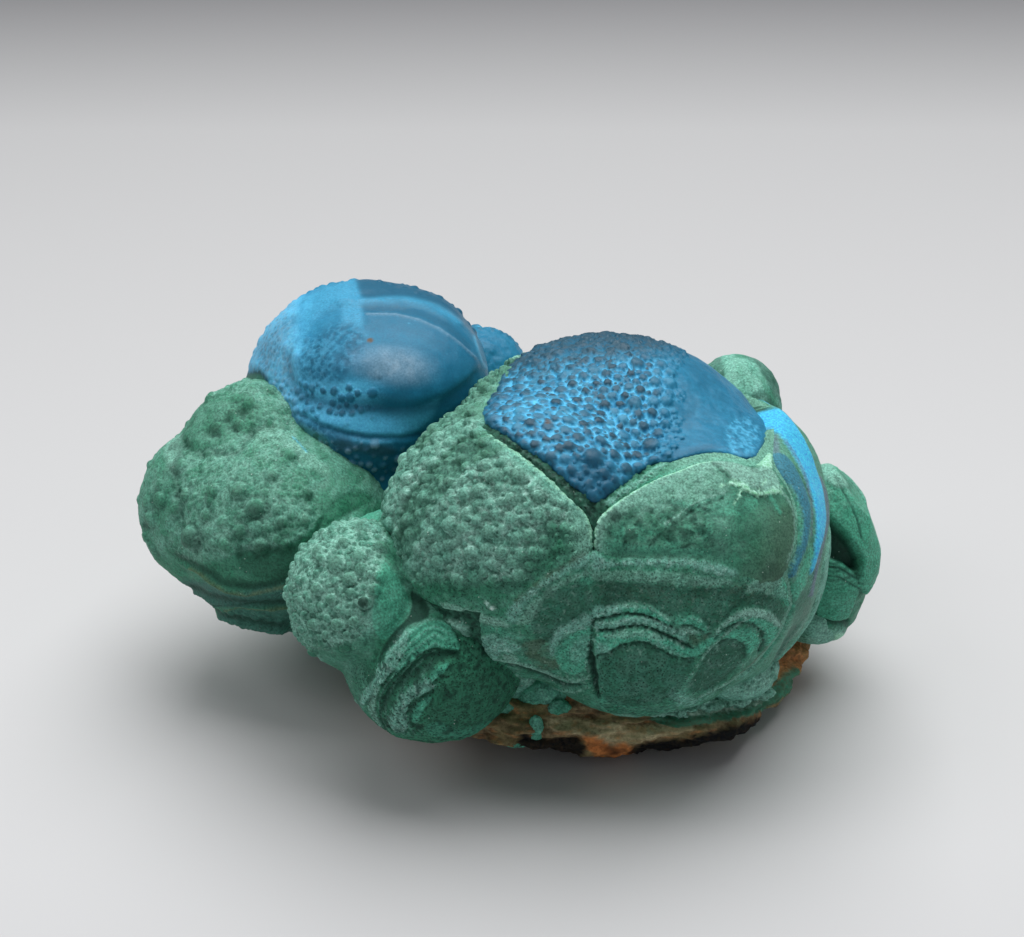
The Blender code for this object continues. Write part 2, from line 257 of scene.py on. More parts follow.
# Single bumps that stand out: (x, y, radius) in pixels
CAP_KNOBS = [(595, 458, 11), (650, 446, 10), (600, 422, 7), (558, 404, 8), (532, 424, 7), (585, 425, 6),
    (578, 402, 6), (586, 393, 5), (652, 414, 6), (606, 406, 6), (620, 405, 5), (643, 428, 6), (640, 392, 6),
    (625, 397, 5), (665, 425, 6), (612, 368, 6), (571, 447, 7), (507, 420, 5), (510, 403, 5), (548, 441, 5),
    (561, 449, 6), (520, 436, 5), (536, 445, 6), (572, 470, 6), (605, 474, 7), (590, 484, 6), (578, 457, 5),
    (527, 392, 5), (608, 384, 5), (597, 385, 5), (627, 447, 5), (637, 456, 6), (673, 447, 5), (660, 470, 4),
    (613, 437, 5), (631, 375, 5)]
DOME_KNOBS = [(407, 494, 8), (468, 514, 7), (466, 530, 8), (557, 514, 7), (432, 534, 7), (490, 532, 8),
    (463, 447, 6), (495, 476, 9), (522, 475, 10), (446, 505, 5), (503, 552, 7), (430, 510, 6),
    (480, 490, 7), (450, 482, 6), (512, 500, 7), (540, 496, 6), (472, 552, 7), (440, 562, 8), (460, 580, 8),
    (495, 580, 7), (418, 548, 7), (408, 520, 7), (530, 535, 7), (485, 465, 7)]
SMALL_KNOBS = [(338, 565, 9), (365, 528, 8), (365, 603, 7), (375, 590, 6), (340, 625, 7), (322, 560, 6),
    (318, 590, 7), (345, 545, 6), (350, 580, 7), (332, 600, 6), (315, 625, 7), (355, 622, 6), (362, 570, 6),
    (382, 548, 7), (325, 645, 6), (345, 648, 5)]
LEFT_KNOBS = [(255, 508, 10), (192, 537, 13), (281, 522, 7), (239, 532, 8), (260, 547, 9), (308, 493, 6),
    (271, 475, 7), (238, 490, 9), (213, 490, 8), (178, 465, 9), (215, 428, 8), (238, 425, 7), (232, 413, 6),
    (250, 404, 8), (205, 515, 7), (225, 545, 7), (285, 545, 6), (265, 440, 6), (290, 455, 7), (305, 520, 6),
    (160, 500, 9), (150, 520, 9), (185, 495, 8), (175, 445, 8)]
BLUE_KNOBS = [(304, 384, 4), (315, 389, 5), (326, 392, 4), (336, 392, 5), (350, 389, 4), (358, 394, 4),
    (330, 411, 4), (342, 413, 4), (352, 413, 4), (361, 410, 4), (320, 406, 4), (372, 394, 6)]

# The blue lobe
DOME_FOOT = [(300, 352), (297, 368), (304, 388), (325, 399), (350, 402), (378, 402), (400, 405), (420, 403),
    (447, 392), (476, 362)]
BLUE_SEAM = [(236, 372), (250, 372), (264, 374), (270, 388), (277, 405), (285, 420), (300, 440), (318, 456),
    (340, 474), (365, 492)]
BLUE_SEAM_BEHIND = [(20, -30), (105, 4), (135, 20), (175, 12), (-140, 22), (-105, 14)]

# The left lobe
SHOULDER_CREASE = [(178, 438), (195, 452), (215, 452), (237, 453), (248, 438), (262, 428), (278, 428)]
STRIP_CREASE = [(196, 420), (180, 434), (178, 455), (176, 480), (180, 510), (190, 560)]
LEFT_TERRACES = [[(172, 560), (200, 571), (225, 586), (250, 591), (280, 588), (300, 583)], [(190, 590),
    (215, 597), (240, 601), (265, 603), (300, 600)], [(215, 610), (240, 618), (262, 622), (290, 624)]]

# The small lobe
SMALL_TERRACE = [(457, 628), (430, 617), (402, 637), (384, 658), (369, 686), (368, 708), (383, 730)]
NECK = [(392, 548), (400, 570), (408, 592), (408, 606), (398, 625), (385, 643), (374, 662), (365, 690)]
# Tone and relief by area. Each row: mark, strength, rise in mm, outline in photo pixels. Sugar is a
# crust of white grains. Each stroke: mark, strength, rise in mm, width in pixels, line.
LEDGE_PATCHES = [
    ("sugar", 1.0, 0.15, [(593, 553), (602, 556), (611, 562), (640, 560), (690, 560), (727, 567),
        (738, 574), (720, 574), (690, 567), (655, 565), (630, 565), (605, 567), (594, 572)]),
    ("pale", 0.4, 0.06, [(594, 572), (605, 571), (655, 571), (700, 576), (735, 582), (700, 587), (650, 581),
        (594, 581)]),
    ("sugar", 0.9, 0.12, [(592, 556), (585, 566), (568, 572), (548, 583), (534, 594), (524, 607),
        (516, 621), (507, 620), (512, 608), (521, 598), (534, 586), (550, 576), (570, 565), (584, 557)]),
    ("pale", 0.45, 0.06, [(590, 574), (575, 580), (560, 588), (546, 600), (537, 613), (530, 623),
        (517, 624), (524, 612), (532, 601), (546, 590), (560, 581), (583, 571)]),
    ("pale", 0.7, 0.1, [(440, 603), (452, 604), (462, 608), (475, 612), (490, 617), (505, 622), (512, 627),
        (498, 626), (480, 623), (465, 621), (452, 617), (443, 611)]),
]
FOOT_PATCHES = [
    ("shade", 0.45, -0.18, [(594, 583), (620, 582), (660, 585), (700, 589), (738, 588), (746, 600),
        (722, 622), (709, 630), (700, 617), (684, 614), (668, 617), (655, 608), (640, 603), (620, 604),
        (594, 606)]),
    ("bright", 0.95, 0.24, [(594, 608), (606, 607), (636, 605), (650, 607), (662, 613), (672, 623),
        (664, 624), (652, 617), (636, 613), (622, 612), (606, 616), (594, 616)]),
    ("sugar", 0.9, 0.06, [(594, 607), (606, 606), (624, 608), (620, 613), (605, 616), (594, 617)]),
    ("bright", 0.5, 0.06, [(594, 617), (625, 614), (640, 614), (655, 619), (668, 626), (655, 622),
        (640, 618), (605, 624)]),
    ("sugar", 0.85, 0.21, [(594, 619), (602, 622), (612, 623), (622, 619), (640, 617), (655, 620),
        (668, 626), (680, 631), (689, 637), (684, 641), (672, 635), (655, 628), (640, 624), (622, 626),
        (602, 629), (594, 625)]),
    ("bright", 0.95, 0.27, [(597, 632), (612, 633), (628, 630), (645, 630), (660, 634), (674, 640),
        (682, 647), (692, 648), (702, 642), (714, 634), (722, 628), (724, 631), (714, 641), (704, 650),
        (694, 657), (684, 657), (668, 648), (655, 643), (645, 641), (632, 640), (620, 644), (612, 650),
        (604, 653), (597, 650)]),
    ("sugar", 0.8, 0.06, [(595, 638), (604, 640), (611, 648), (604, 654), (595, 652)]),
    ("sugar", 0.7, 0.06, [(646, 641), (660, 641), (669, 646), (682, 655), (672, 654), (660, 648)]),
    ("pale", 0.6, 0.0, [(607, 634), (640, 632), (664, 637), (660, 640), (640, 636), (612, 638)]),
    ("bright", 0.85, 0.18, [(679, 621), (690, 616), (700, 619), (709, 629), (704, 632), (697, 627),
        (688, 625), (679, 625)]),
    ("pale", 0.7, 0.12, [(681, 628), (691, 628), (700, 633), (694, 635), (683, 634)]),
    ("brown", 0.5, -0.12, [(688, 634), (700, 636), (712, 632), (704, 641), (693, 645)]),
    ("pale", 1.0, 0.33, [(713, 635), (717, 628), (725, 620), (735, 613), (748, 608), (762, 609), (772, 613),
        (780, 622), (781, 628), (775, 625), (766, 619), (754, 616), (742, 616), (732, 620), (723, 626),
        (716, 633)]),
    ("bright", 0.85, 0.24, [(716, 634), (724, 627), (733, 621), (742, 617), (754, 617), (766, 620),
        (777, 627), (778, 634), (772, 641), (766, 645), (764, 634), (757, 626), (746, 622), (728, 624)]),
    ("bright", 0.95, 0.21, [(724, 638), (732, 631), (742, 628), (752, 629), (758, 634), (759, 643),
        (754, 650), (748, 655), (746, 648), (742, 642), (734, 640)]),
    ("shade", 0.55, -0.3, [(688, 690), (697, 672), (706, 655), (716, 645), (726, 640), (738, 642),
        (744, 648), (744, 658), (736, 670), (724, 682), (708, 692)]),
    ("pale", 0.45, 0.12, [(745, 594), (752, 583), (762, 576), (780, 571), (786, 573), (782, 582),
        (786, 590), (789, 600), (784, 598), (772, 597), (760, 592)]),
    ("bright", 0.8, 0.12, [(774, 595), (778, 587), (786, 583), (790, 590), (791, 605), (787, 606),
        (783, 599)]),
    ("shade", 0.45, -0.12, [(744, 600), (760, 595), (776, 599), (788, 612), (780, 625), (772, 613),
        (758, 606), (740, 608), (725, 618), (735, 605)]),
    ("shade", 0.45, -0.21, [(600, 660), (612, 652), (625, 645), (645, 645), (662, 652), (680, 661),
        (694, 660), (680, 690), (650, 706), (610, 704), (600, 690)]),
    ("brown", 0.6, 0.0, [(520, 645), (545, 640), (555, 655), (560, 668), (545, 670), (530, 660)]),
    ("shade", 0.5, -0.12, [(545, 595), (575, 585), (590, 590), (590, 612), (560, 628), (550, 642),
        (536, 640), (532, 622)]),
    ("sugar", 0.95, 0.27, [(592, 612), (582, 616), (570, 621), (560, 627), (552, 636), (550, 646),
        (553, 655), (557, 645), (563, 638), (574, 631), (584, 627), (592, 624)]),
    ("bright", 0.75, 0.12, [(591, 623), (578, 630), (563, 640), (555, 652), (562, 668), (575, 674),
        (586, 666), (590, 648)]),
    ("sugar", 0.5, 0.06, [(571, 645), (586, 634), (590, 638), (588, 655), (578, 662), (569, 655)]),
    ("sugar", 0.9, 0.24, [(471, 636), (480, 635), (495, 636), (508, 639), (517, 644), (520, 650),
        (511, 652), (503, 651), (498, 657), (492, 657), (480, 648)]),
    ("bright", 0.4, 0.0, [(452, 620), (470, 624), (500, 628), (520, 640), (505, 637), (480, 633),
        (468, 634)]),
    ("pale", 0.8, 0.18, [(502, 655), (510, 654), (519, 659), (510, 661)]),
    ("sugar", 0.6, 0.12, [(668, 692), (680, 690), (690, 697), (700, 700), (690, 706), (675, 702)]),
]
FOOT_STROKES = [
    ("pale", 0.85, 0.1, 1.8, [(594, 608), (606, 607), (622, 606), (636, 606), (650, 608), (661, 614),
        (670, 621)]),
    ("pale", 0.75, 0.1, 1.6, [(596, 621), (610, 623), (624, 619), (640, 617), (655, 620), (668, 626),
        (682, 633)]),
    ("pale", 0.8, 0.1, 1.8, [(598, 634), (612, 634), (628, 631), (645, 631), (660, 635), (674, 641),
        (684, 648)]),
    ("pale", 0.7, 0.1, 1.6, [(681, 622), (690, 617), (700, 620), (708, 628)]),
    ("pale", 0.9, 0.1, 1.8, [(552, 642), (557, 633), (566, 626), (578, 620), (590, 615)]),
    ("shade", 0.95, -0.35, 2.2, [(596, 618), (610, 617), (625, 614), (640, 614), (655, 619), (668, 625),
        (676, 629)]),
    ("shade", 0.95, -0.35, 2.4, [(597, 630), (612, 630), (625, 627), (640, 626), (655, 630), (670, 637),
        (682, 643), (691, 648)]),
    ("shade", 0.8, -0.3, 2.4, [(597, 656), (612, 652), (622, 645), (645, 643), (660, 650), (672, 657),
        (686, 660), (698, 656)]),
    ("shade", 0.6, -0.2, 2.0, [(682, 626), (692, 626), (703, 632), (712, 635)]),
    ("shade", 0.8, -0.3, 2.4, [(714, 638), (724, 629), (736, 623), (748, 622), (757, 626), (763, 634),
        (764, 643), (758, 652)]),
    ("pale", 0.9, 0.25, 1.6, [(690, 676), (699, 663), (706, 653), (714, 644), (722, 636), (732, 628),
        (741, 620), (748, 617)]),
    ("shade", 0.8, -0.25, 2.0, [(718, 644), (728, 639), (738, 640), (746, 648), (745, 658)]),
    ("pale", 0.6, 0.15, 1.4, [(744, 598), (748, 590), (753, 581)]),
    ("pale", 0.8, 0.3, 1.6, [(789, 596), (791, 607), (785, 620), (775, 640), (760, 658), (740, 675),
        (720, 688), (700, 697)]),
    ("brown", 0.6, 0.0, 4.0, [(780, 632), (766, 650), (750, 667), (732, 682)]),
    ("pale", 0.8, 0.4, 2.4, [(497, 658), (515, 662), (530, 666), (545, 671), (560, 676), (574, 680),
        (588, 678)]),
    ("shade", 0.9, -0.4, 3.0, [(506, 664), (530, 671), (548, 677), (565, 684), (580, 685)]),
    ("pale", 0.6, 0.3, 1.8, [(516, 674), (530, 683), (545, 687), (560, 689), (575, 691), (588, 687)]),
    ("shade", 0.8, -0.3, 2.2, [(475, 652), (492, 661), (505, 670), (514, 678)]),
    ("pale", 0.6, 0.2, 1.6, [(589, 640), (587, 652), (586, 664), (590, 676)]),
]
RIGHT_DOME_PATCHES = [
    ("pale", 0.85, 0.25, [(713, 461), (735, 462), (752, 467), (764, 467), (772, 470), (778, 480),
        (779, 488), (770, 491), (757, 491), (748, 487), (740, 482), (733, 481), (726, 472)]),
    ("mint", 0.8, 0.3, [(758, 464), (763, 458), (768, 452), (771, 449), (775, 453), (772, 460), (773, 468),
        (768, 469)]),
    ("pale", 0.35, 0.0, [(600, 524), (625, 507), (655, 492), (690, 478), (712, 467), (722, 478), (728, 490),
        (700, 500), (670, 500), (640, 504), (615, 522)]),
    ("bright", 0.4, 0.0, [(600, 552), (602, 540), (640, 545), (690, 548), (715, 552), (690, 556),
        (640, 555)]),
    ("bright", 0.35, 0.0, [(665, 500), (700, 500), (735, 492), (760, 500), (740, 515), (700, 512)]),
]
RIGHT_DOME_STROKES = [
    ("mint", 1.0, 0.25, 3.6, [(730, 483), (738, 486), (742, 485), (748, 490), (757, 494), (768, 493),
        (779, 491)]),
    ("mint", 0.8, 0.1, 2.2, [(733, 480), (741, 485), (746, 492)]),
    ("mint", 0.8, 0.1, 1.5, [(736, 486), (727, 484), (720, 486)]),
    ("mint", 0.8, 0.1, 1.5, [(742, 487), (738, 498), (734, 503)]),
    ("mint", 0.8, 0.1, 1.5, [(757, 494), (760, 486), (765, 481)]),
    ("mint", 0.8, 0.1, 1.5, [(768, 492), (776, 487), (781, 487)]),
    ("bright", 0.9, 0.15, 3.0, [(766, 491), (772, 499), (777, 508), (780, 513)]),
    ("pale", 0.8, 0.2, 1.6, [(664, 524), (680, 514), (690, 506), (700, 500), (712, 496), (724, 493)]),
    ("shade", 0.6, -0.15, 2.6, [(650, 546), (664, 531), (680, 521), (690, 513), (700, 507), (712, 502),
        (724, 498)]),
    ("shade", 0.7, -0.15, 1.8, [(712, 462), (723, 472), (731, 480), (740, 484)]),
    ("shade", 0.6, -0.1, 1.6, [(737, 493), (752, 497), (766, 497)]),
    ("pale", 0.7, 0.1, 1.8, [(779, 488), (788, 500), (793, 512), (795, 530), (793, 548), (787, 562)]),
]
FLANK_PATCHES = [
    ("bright", 0.6, 0.1, [(772, 468), (780, 474), (790, 486), (798, 500), (802, 515), (803, 530),
        (801, 545), (796, 560), (791, 575), (786, 574), (793, 556), (797, 540), (798, 525), (796, 510),
        (790, 495), (782, 484)]),
    ("slate_blue", 1.0, 0.2, [(770, 462), (775, 453), (783, 454), (791, 462), (798, 473), (804, 485),
        (808, 497), (810, 510), (810, 524), (808, 538), (805, 549), (800, 562), (795, 575), (790, 579),
        (792, 569), (797, 557), (801, 545), (803, 530), (803, 515), (799, 500), (792, 486), (782, 475)]),
    ("blue", 1.0, 0.45, [(755, 398), (770, 405), (780, 411), (789, 419), (797, 430), (804, 442), (810, 455),
        (815, 468), (819, 480), (822, 492), (824, 505), (825, 520), (823, 534), (820, 545), (817, 556),
        (814, 566), (810, 574), (809, 570), (812, 556), (814, 540), (815, 525), (814, 510), (811, 496),
        (806, 483), (799, 468), (791, 454), (783, 441), (775, 428), (765, 413)]),
    ("bright", 0.85, 0.1, [(806, 556), (811, 548), (812, 560), (808, 575), (803, 590), (797, 600),
        (793, 592), (797, 578)]),
    ("shade", 0.4, -0.1, [(800, 592), (808, 590), (812, 600), (808, 615), (800, 628), (792, 630),
        (796, 612)]),
    ("shade", 0.55, -0.3, [(792, 628), (800, 626), (786, 650), (776, 672), (768, 690), (755, 690),
        (770, 668), (782, 645)]),
    ("plum", 0.7, 0.0, [(756, 402), (766, 412), (774, 425), (779, 438), (780, 452), (773, 450), (769, 437),
        (763, 424), (754, 411)]),
]
FLANK_STROKES = [
    ("plum", 0.7, 0.0, 1.6, [(784, 441), (797, 462), (806, 482), (811, 500), (812, 520), (811, 536)]),
    ("pale", 0.5, 0.1, 1.4, [(799, 546), (796, 558), (791, 570), (787, 582)]),
    ("plum", 0.9, 0.1, 3.6, [(820, 478), (825, 492), (827, 508), (827, 524), (823, 542), (819, 558),
        (815, 575), (811, 595)]),
    ("pale", 0.6, 0.2, 1.6, [(806, 618), (800, 628), (788, 642), (779, 660), (772, 680), (765, 692)]),
    ("bright", 0.7, 0.1, 2.0, [(795, 606), (788, 620), (778, 640), (765, 658)]),
]
RIM_PATCHES = [
    ("sugar", 0.75, 0.35, [(606, 502), (618, 492), (632, 482), (645, 474), (658, 465), (668, 463),
        (660, 470), (648, 478), (634, 488), (620, 499), (610, 508)]),
    ("bright", 0.5, 0.0, [(604, 512), (620, 500), (640, 486), (660, 474), (690, 463), (720, 456),
        (752, 459), (764, 463), (756, 468), (735, 463), (712, 459), (690, 467), (660, 480), (632, 494),
        (612, 508)]),
]
# a painted highlight along the raised crest of the left dome's margin
RIM_STROKES = [
    ("pale", 0.9, 0.35, 1.6, [(500, 436), (512, 443), (522, 450), (528, 456), (540, 464), (548, 470),
        (556, 479), (566, 487), (576, 496), (586, 506), (592, 516)]),
]
SMALL_PATCHES = [
    ("sugar", 0.85, 0.5, [(402, 631), (409, 631), (406, 645), (401, 658), (393, 671), (383, 681),
        (374, 690), (366, 702), (361, 700), (366, 688), (374, 679), (380, 666), (386, 655), (393, 643)]),
    ("bright", 0.8, 0.5, [(408, 631), (425, 623), (442, 621), (455, 635), (458, 649), (440, 647),
        (425, 650), (412, 660), (402, 668), (394, 674), (401, 658), (406, 645)]),
    ("shade", 0.5, -0.6, [(460, 652), (448, 650), (435, 652), (422, 658), (410, 668), (400, 677),
        (390, 687), (383, 700), (381, 714), (388, 704), (397, 692), (411, 682), (427, 671), (443, 661),
        (458, 656)]),
    ("pale", 0.6, 0.1, [(372, 690), (380, 686), (376, 700), (377, 716), (384, 730), (376, 722),
        (368, 708)]),
    ("bright", 0.95, 0.5, [(428, 681), (431, 671), (438, 666), (448, 662), (445, 669), (436, 677)]),
    ("sugar", 0.9, 0.5, [(431, 679), (420, 681), (408, 689), (400, 699), (394, 706), (389, 718), (391, 725),
        (398, 731), (405, 729), (408, 721), (406, 713), (408, 704), (415, 697), (424, 692), (433, 687)]),
    ("shade", 0.4, -0.3, [(410, 722), (410, 708), (416, 700), (424, 695), (433, 690), (430, 697),
        (421, 701), (414, 709)]),
    ("bright", 0.9, 0.3, [(411, 718), (414, 708), (420, 702), (428, 696), (431, 699), (425, 706),
        (420, 716), (416, 723)]),
    ("shade", 0.3, 0.0, [(435, 690), (460, 680), (490, 665), (510, 690), (515, 712), (500, 735), (470, 742),
        (435, 735), (425, 715)]),
    ("bright", 0.6, 0.1, [(425, 728), (440, 722), (460, 730), (485, 722), (502, 724), (490, 734),
        (460, 738), (435, 737)]),
    ("bright", 0.6, 0.0, [(380, 560), (394, 572), (408, 592), (411, 606), (404, 622), (392, 636),
        (380, 640), (372, 620), (376, 590)]),
    ("sugar", 0.7, 0.1, [(366, 527), (374, 526), (384, 533), (388, 540), (380, 538), (370, 534)]),
    ("shade", 0.25, 0.0, [(312, 650), (330, 645), (355, 650), (370, 660), (362, 690), (355, 702),
        (335, 690), (320, 670)]),
    ("shade", 0.9, -0.2, [(412, 590), (428, 604), (428, 618), (408, 626), (398, 640), (384, 655),
        (378, 664), (382, 650), (394, 632), (408, 618), (413, 604)]),
]
SMALL_STROKES = [
    ("shade", 0.7, -0.2, 1.8, [(396, 676), (386, 688), (380, 700), (380, 716), (386, 730)]),
    ("shade", 0.5, -0.15, 1.4, [(390, 690), (385, 703), (386, 716), (391, 728)]),
    ("pale", 0.6, 0.2, 1.6, [(318, 655), (330, 672), (342, 688), (358, 702)]),
    ("pale", 0.6, 0.2, 1.6, [(518, 700), (508, 712), (505, 724)]),
]
LEFT_PATCHES = [
    ("pale", 0.5, 0.1, [(166, 440), (178, 425), (180, 440), (177, 470), (172, 478), (166, 460)]),
    ("moss", 0.6, 0.0, [(182, 420), (200, 402), (235, 398), (262, 405), (262, 420), (243, 436), (215, 446),
        (190, 450), (180, 440)]),
    ("pale", 0.35, 0.1, [(255, 432), (268, 427), (282, 430), (300, 445), (330, 470), (322, 476), (295, 455),
        (275, 445), (258, 445)]),
    ("smooth_green", 0.8, -0.2, [(165, 545), (200, 565), (240, 552), (300, 540), (335, 500), (360, 492),
        (374, 502), (340, 520), (310, 545), (300, 585), (250, 588), (215, 575), (180, 572)]),
    ("shade", 0.4, -0.2, [(240, 545), (300, 545), (322, 520), (305, 575), (290, 582), (245, 575)]),
    ("slate", 0.7, 0.15, [(180, 582), (205, 580), (235, 590), (265, 586), (300, 584), (300, 600),
        (250, 602), (215, 604), (195, 598)]),
    ("slate", 0.6, 0.15, [(215, 612), (245, 606), (298, 606), (298, 630), (270, 634), (235, 624)]),
]
LEFT_STROKES = [
    ("olive", 0.7, 0.1, 1.6, [(192, 567), (205, 574), (218, 583), (230, 589), (248, 592), (272, 588),
        (298, 582)]),
    ("olive", 0.7, 0.1, 1.6, [(226, 608), (240, 604), (262, 605), (280, 603), (300, 603)]),
    ("shade", 0.6, -0.2, 2.0, [(205, 603), (225, 602), (250, 600), (298, 598)]),
    ("blue", 0.5, 0.0, 1.4, [(293, 437), (300, 444), (307, 452)]),
]
BLUE_PATCHES = [
    ("ring", 0.3, 0.3, [(240, 360), (252, 340), (270, 322), (296, 303), (320, 290), (340, 284), (352, 290),
        (350, 304), (340, 306), (322, 314), (306, 332), (298, 356), (296, 378), (302, 396), (288, 402),
        (272, 384), (262, 372)]),
    ("deep", 0.45, -0.1, [(258, 350), (275, 330), (292, 318), (300, 318), (288, 336), (276, 356),
        (268, 372)]),
    ("deep", 0.95, 0.0, [(358, 268), (395, 274), (430, 282), (455, 300), (475, 325), (478, 338), (462, 322),
        (440, 306), (410, 297), (385, 297), (362, 297)]),
    ("ring", 0.3, 0.3, [(340, 300), (385, 297), (410, 298), (440, 306), (462, 322), (456, 324), (432, 311),
        (405, 304), (340, 305)]),
    ("deep", 0.75, -0.1, [(364, 305), (400, 305), (430, 312), (452, 324), (472, 346), (466, 350),
        (446, 331), (420, 318), (390, 313), (366, 313)]),
    ("deep", 0.3, 0.0, [(364, 316), (400, 318), (430, 326), (455, 340), (474, 360), (460, 376), (440, 390),
        (446, 360), (420, 338), (390, 330), (366, 332)]),
    ("ring", 0.6, 0.1, [(360, 408), (385, 411), (420, 408), (440, 398), (430, 420), (404, 438), (380, 438),
        (345, 431), (322, 421), (345, 416)]),
    # painted shade along the lower crease above the shelf
    ("deep", 0.95, 0.0, [(282, 404), (300, 418), (325, 430), (350, 437), (352, 444), (330, 440), (306, 430),
        (288, 416)]),
    ("ring", 0.75, 0.2, [(306, 428), (325, 434), (350, 438), (380, 441), (392, 443), (370, 444), (345, 442),
        (322, 438)]),
    ("crown", 0.75, 0.25, [(330, 441), (345, 440), (365, 444), (388, 445), (396, 452), (380, 456),
        (360, 452), (340, 452)]),
    ("deep", 0.45, 0.0, [(325, 440), (400, 441), (406, 460), (390, 482), (362, 482), (342, 470),
        (326, 456)]),
    ("shade", 0.1, 0.0, [(340, 456), (365, 453), (395, 452), (400, 462), (385, 482), (362, 480),
        (345, 466)]),
    ("moss", 0.9, 0.0, [(296, 424), (312, 430), (326, 438), (332, 452), (345, 470), (366, 492), (340, 480),
        (312, 452)]),
]
BLUE_STROKES = [
    # a ridge with a painted highlight along it
    ("mauve", 0.5, 0.25, 1.8, [(366, 314), (395, 314), (420, 320), (440, 329), (458, 342), (474, 358)]),
    # the next two strokes are painted shade in the creases under the dome and above the shelf
    ("deep", 0.5, 0.0, 5.0, [(372, 403), (390, 407), (410, 408), (432, 402), (456, 388), (476, 372)]),
    ("deep", 0.85, -0.35, 5.0, [(298, 414), (322, 427), (345, 434), (370, 438), (402, 438), (425, 434)]),
    ("ring", 0.6, 0.1, 2.0, [(474, 336), (478, 350), (482, 362), (486, 368)]),
]
SHELL_PATCHES = [
    ("bright", 0.6, 1.3, [(810, 462), (818, 456), (828, 466), (842, 478), (856, 492), (868, 513),
        (875, 545), (873, 572), (862, 592), (857, 578), (860, 560), (851, 545), (840, 531), (828, 519),
        (818, 500), (812, 480)]),
    ("pale", 0.75, 0.3, [(814, 462), (826, 468), (838, 480), (846, 492), (836, 494), (824, 486),
        (816, 478)]),
    ("bright", 0.5, 0.0, [(848, 552), (856, 540), (864, 526), (871, 522), (872, 532), (865, 542),
        (858, 553), (853, 560)]),
    ("smooth_green", 0.9, 0.0, [(835, 495), (850, 500), (862, 518), (868, 545), (860, 552), (846, 532),
        (834, 512)]),
    ("shade", 1.0, -1.6, [(822, 520), (834, 527), (848, 542), (857, 558), (855, 570), (842, 562),
        (830, 557), (823, 550)]),
    ("bright", 0.6, 0.9, [(820, 560), (836, 562), (852, 572), (858, 586), (852, 604), (846, 616),
        (828, 618), (816, 610), (818, 585)]),
    # a painted highlight on the roll
    ("bright", 0.3, 0.1, [(826, 574), (840, 576), (846, 590), (842, 604), (832, 606), (826, 592)]),
    ("shade", 0.95, -0.9, [(806, 612), (820, 614), (836, 619), (848, 620), (846, 626), (830, 626),
        (812, 622)]),
    ("pale", 0.6, 0.4, [(804, 624), (825, 628), (846, 628), (846, 640), (836, 648), (818, 650),
        (804, 640)]),
    ("mint", 0.8, 0.2, [(834, 632), (844, 631), (846, 638), (838, 643)]),
]
SHELL_STROKES = [
    ("shade", 0.8, -0.25, 2.4, [(824, 566), (838, 567), (854, 577)]),
    ("shade", 0.6, -0.15, 2.0, [(823, 574), (837, 575), (856, 586)]),
    ("shade", 0.5, -0.2, 2.0, [(834, 484), (846, 504), (854, 522), (858, 540)]),
    ("pale", 0.5, 0.2, 1.6, [(818, 458), (832, 470), (846, 483), (858, 500), (868, 520)]),
]
MINT_PATCHES = [
    ("pale", 0.2, 0.0, [(722, 362), (738, 357), (752, 370), (760, 384), (752, 392), (736, 384),
        (724, 374)]),
    ("shade", 0.6, -0.1, [(742, 352), (754, 362), (764, 374), (772, 390), (782, 406), (790, 400),
        (778, 370), (758, 350)]),
    ("shade", 0.5, -0.1, [(700, 352), (716, 350), (722, 362), (724, 376), (712, 372)]),
    ("shade", 0.5, -0.1, [(750, 396), (764, 392), (776, 404), (778, 420), (760, 412)]),
]
ROCK_PATCHES = [
    ("tan", 0.95, 0.5, [(545, 722), (560, 716), (590, 719), (620, 723), (660, 723), (700, 716), (690, 729),
        (662, 737), (640, 742), (615, 746), (600, 743), (580, 735), (560, 731)]),
    ("soot", 0.95, -0.5, [(520, 736), (545, 738), (575, 739), (586, 750), (570, 762), (520, 756)]),
    ("rust", 1.0, 0.4, [(583, 732), (598, 736), (610, 742), (609, 752), (600, 756), (588, 748)]),
    ("rust", 1.0, 0.3, [(613, 743), (626, 741), (633, 750), (626, 758), (613, 762), (606, 754)]),
    ("soot", 1.0, 0.2, [(640, 743), (680, 739), (720, 730), (760, 716), (790, 696), (806, 672), (822, 668),
        (806, 700), (780, 724), (740, 742), (690, 754), (640, 762)]),
    ("moss", 0.95, 0.4, [(650, 704), (690, 700), (730, 696), (765, 688), (790, 668), (800, 672), (786, 694),
        (758, 712), (718, 722), (680, 726), (650, 720)]),
    ("chalk", 0.7, 0.1, [(662, 706), (700, 702), (740, 698), (764, 692), (756, 704), (716, 712),
        (676, 716)]),
    ("rust", 0.45, 0.0, [(776, 655), (798, 640), (815, 655), (800, 676), (780, 684)]),
    ("olive", 0.8, 0.3, [(500, 700), (540, 696), (548, 710), (530, 722), (505, 722)]),
]
# Single dark spots and dimples: (x, y, radius) in pixels
DARK_SPOTS = [(615, 512, 9), (632, 509, 7), (650, 508, 6), (630, 534, 9), (665, 530, 9), (685, 532, 8),
    (703, 506, 7), (716, 531, 14), (640, 522, 6), (680, 520, 6), (610, 530, 6), (745, 560, 6),
    (722, 540, 10), (694, 518, 4), (655, 520, 6), (700, 528, 7), (620, 545, 6)]
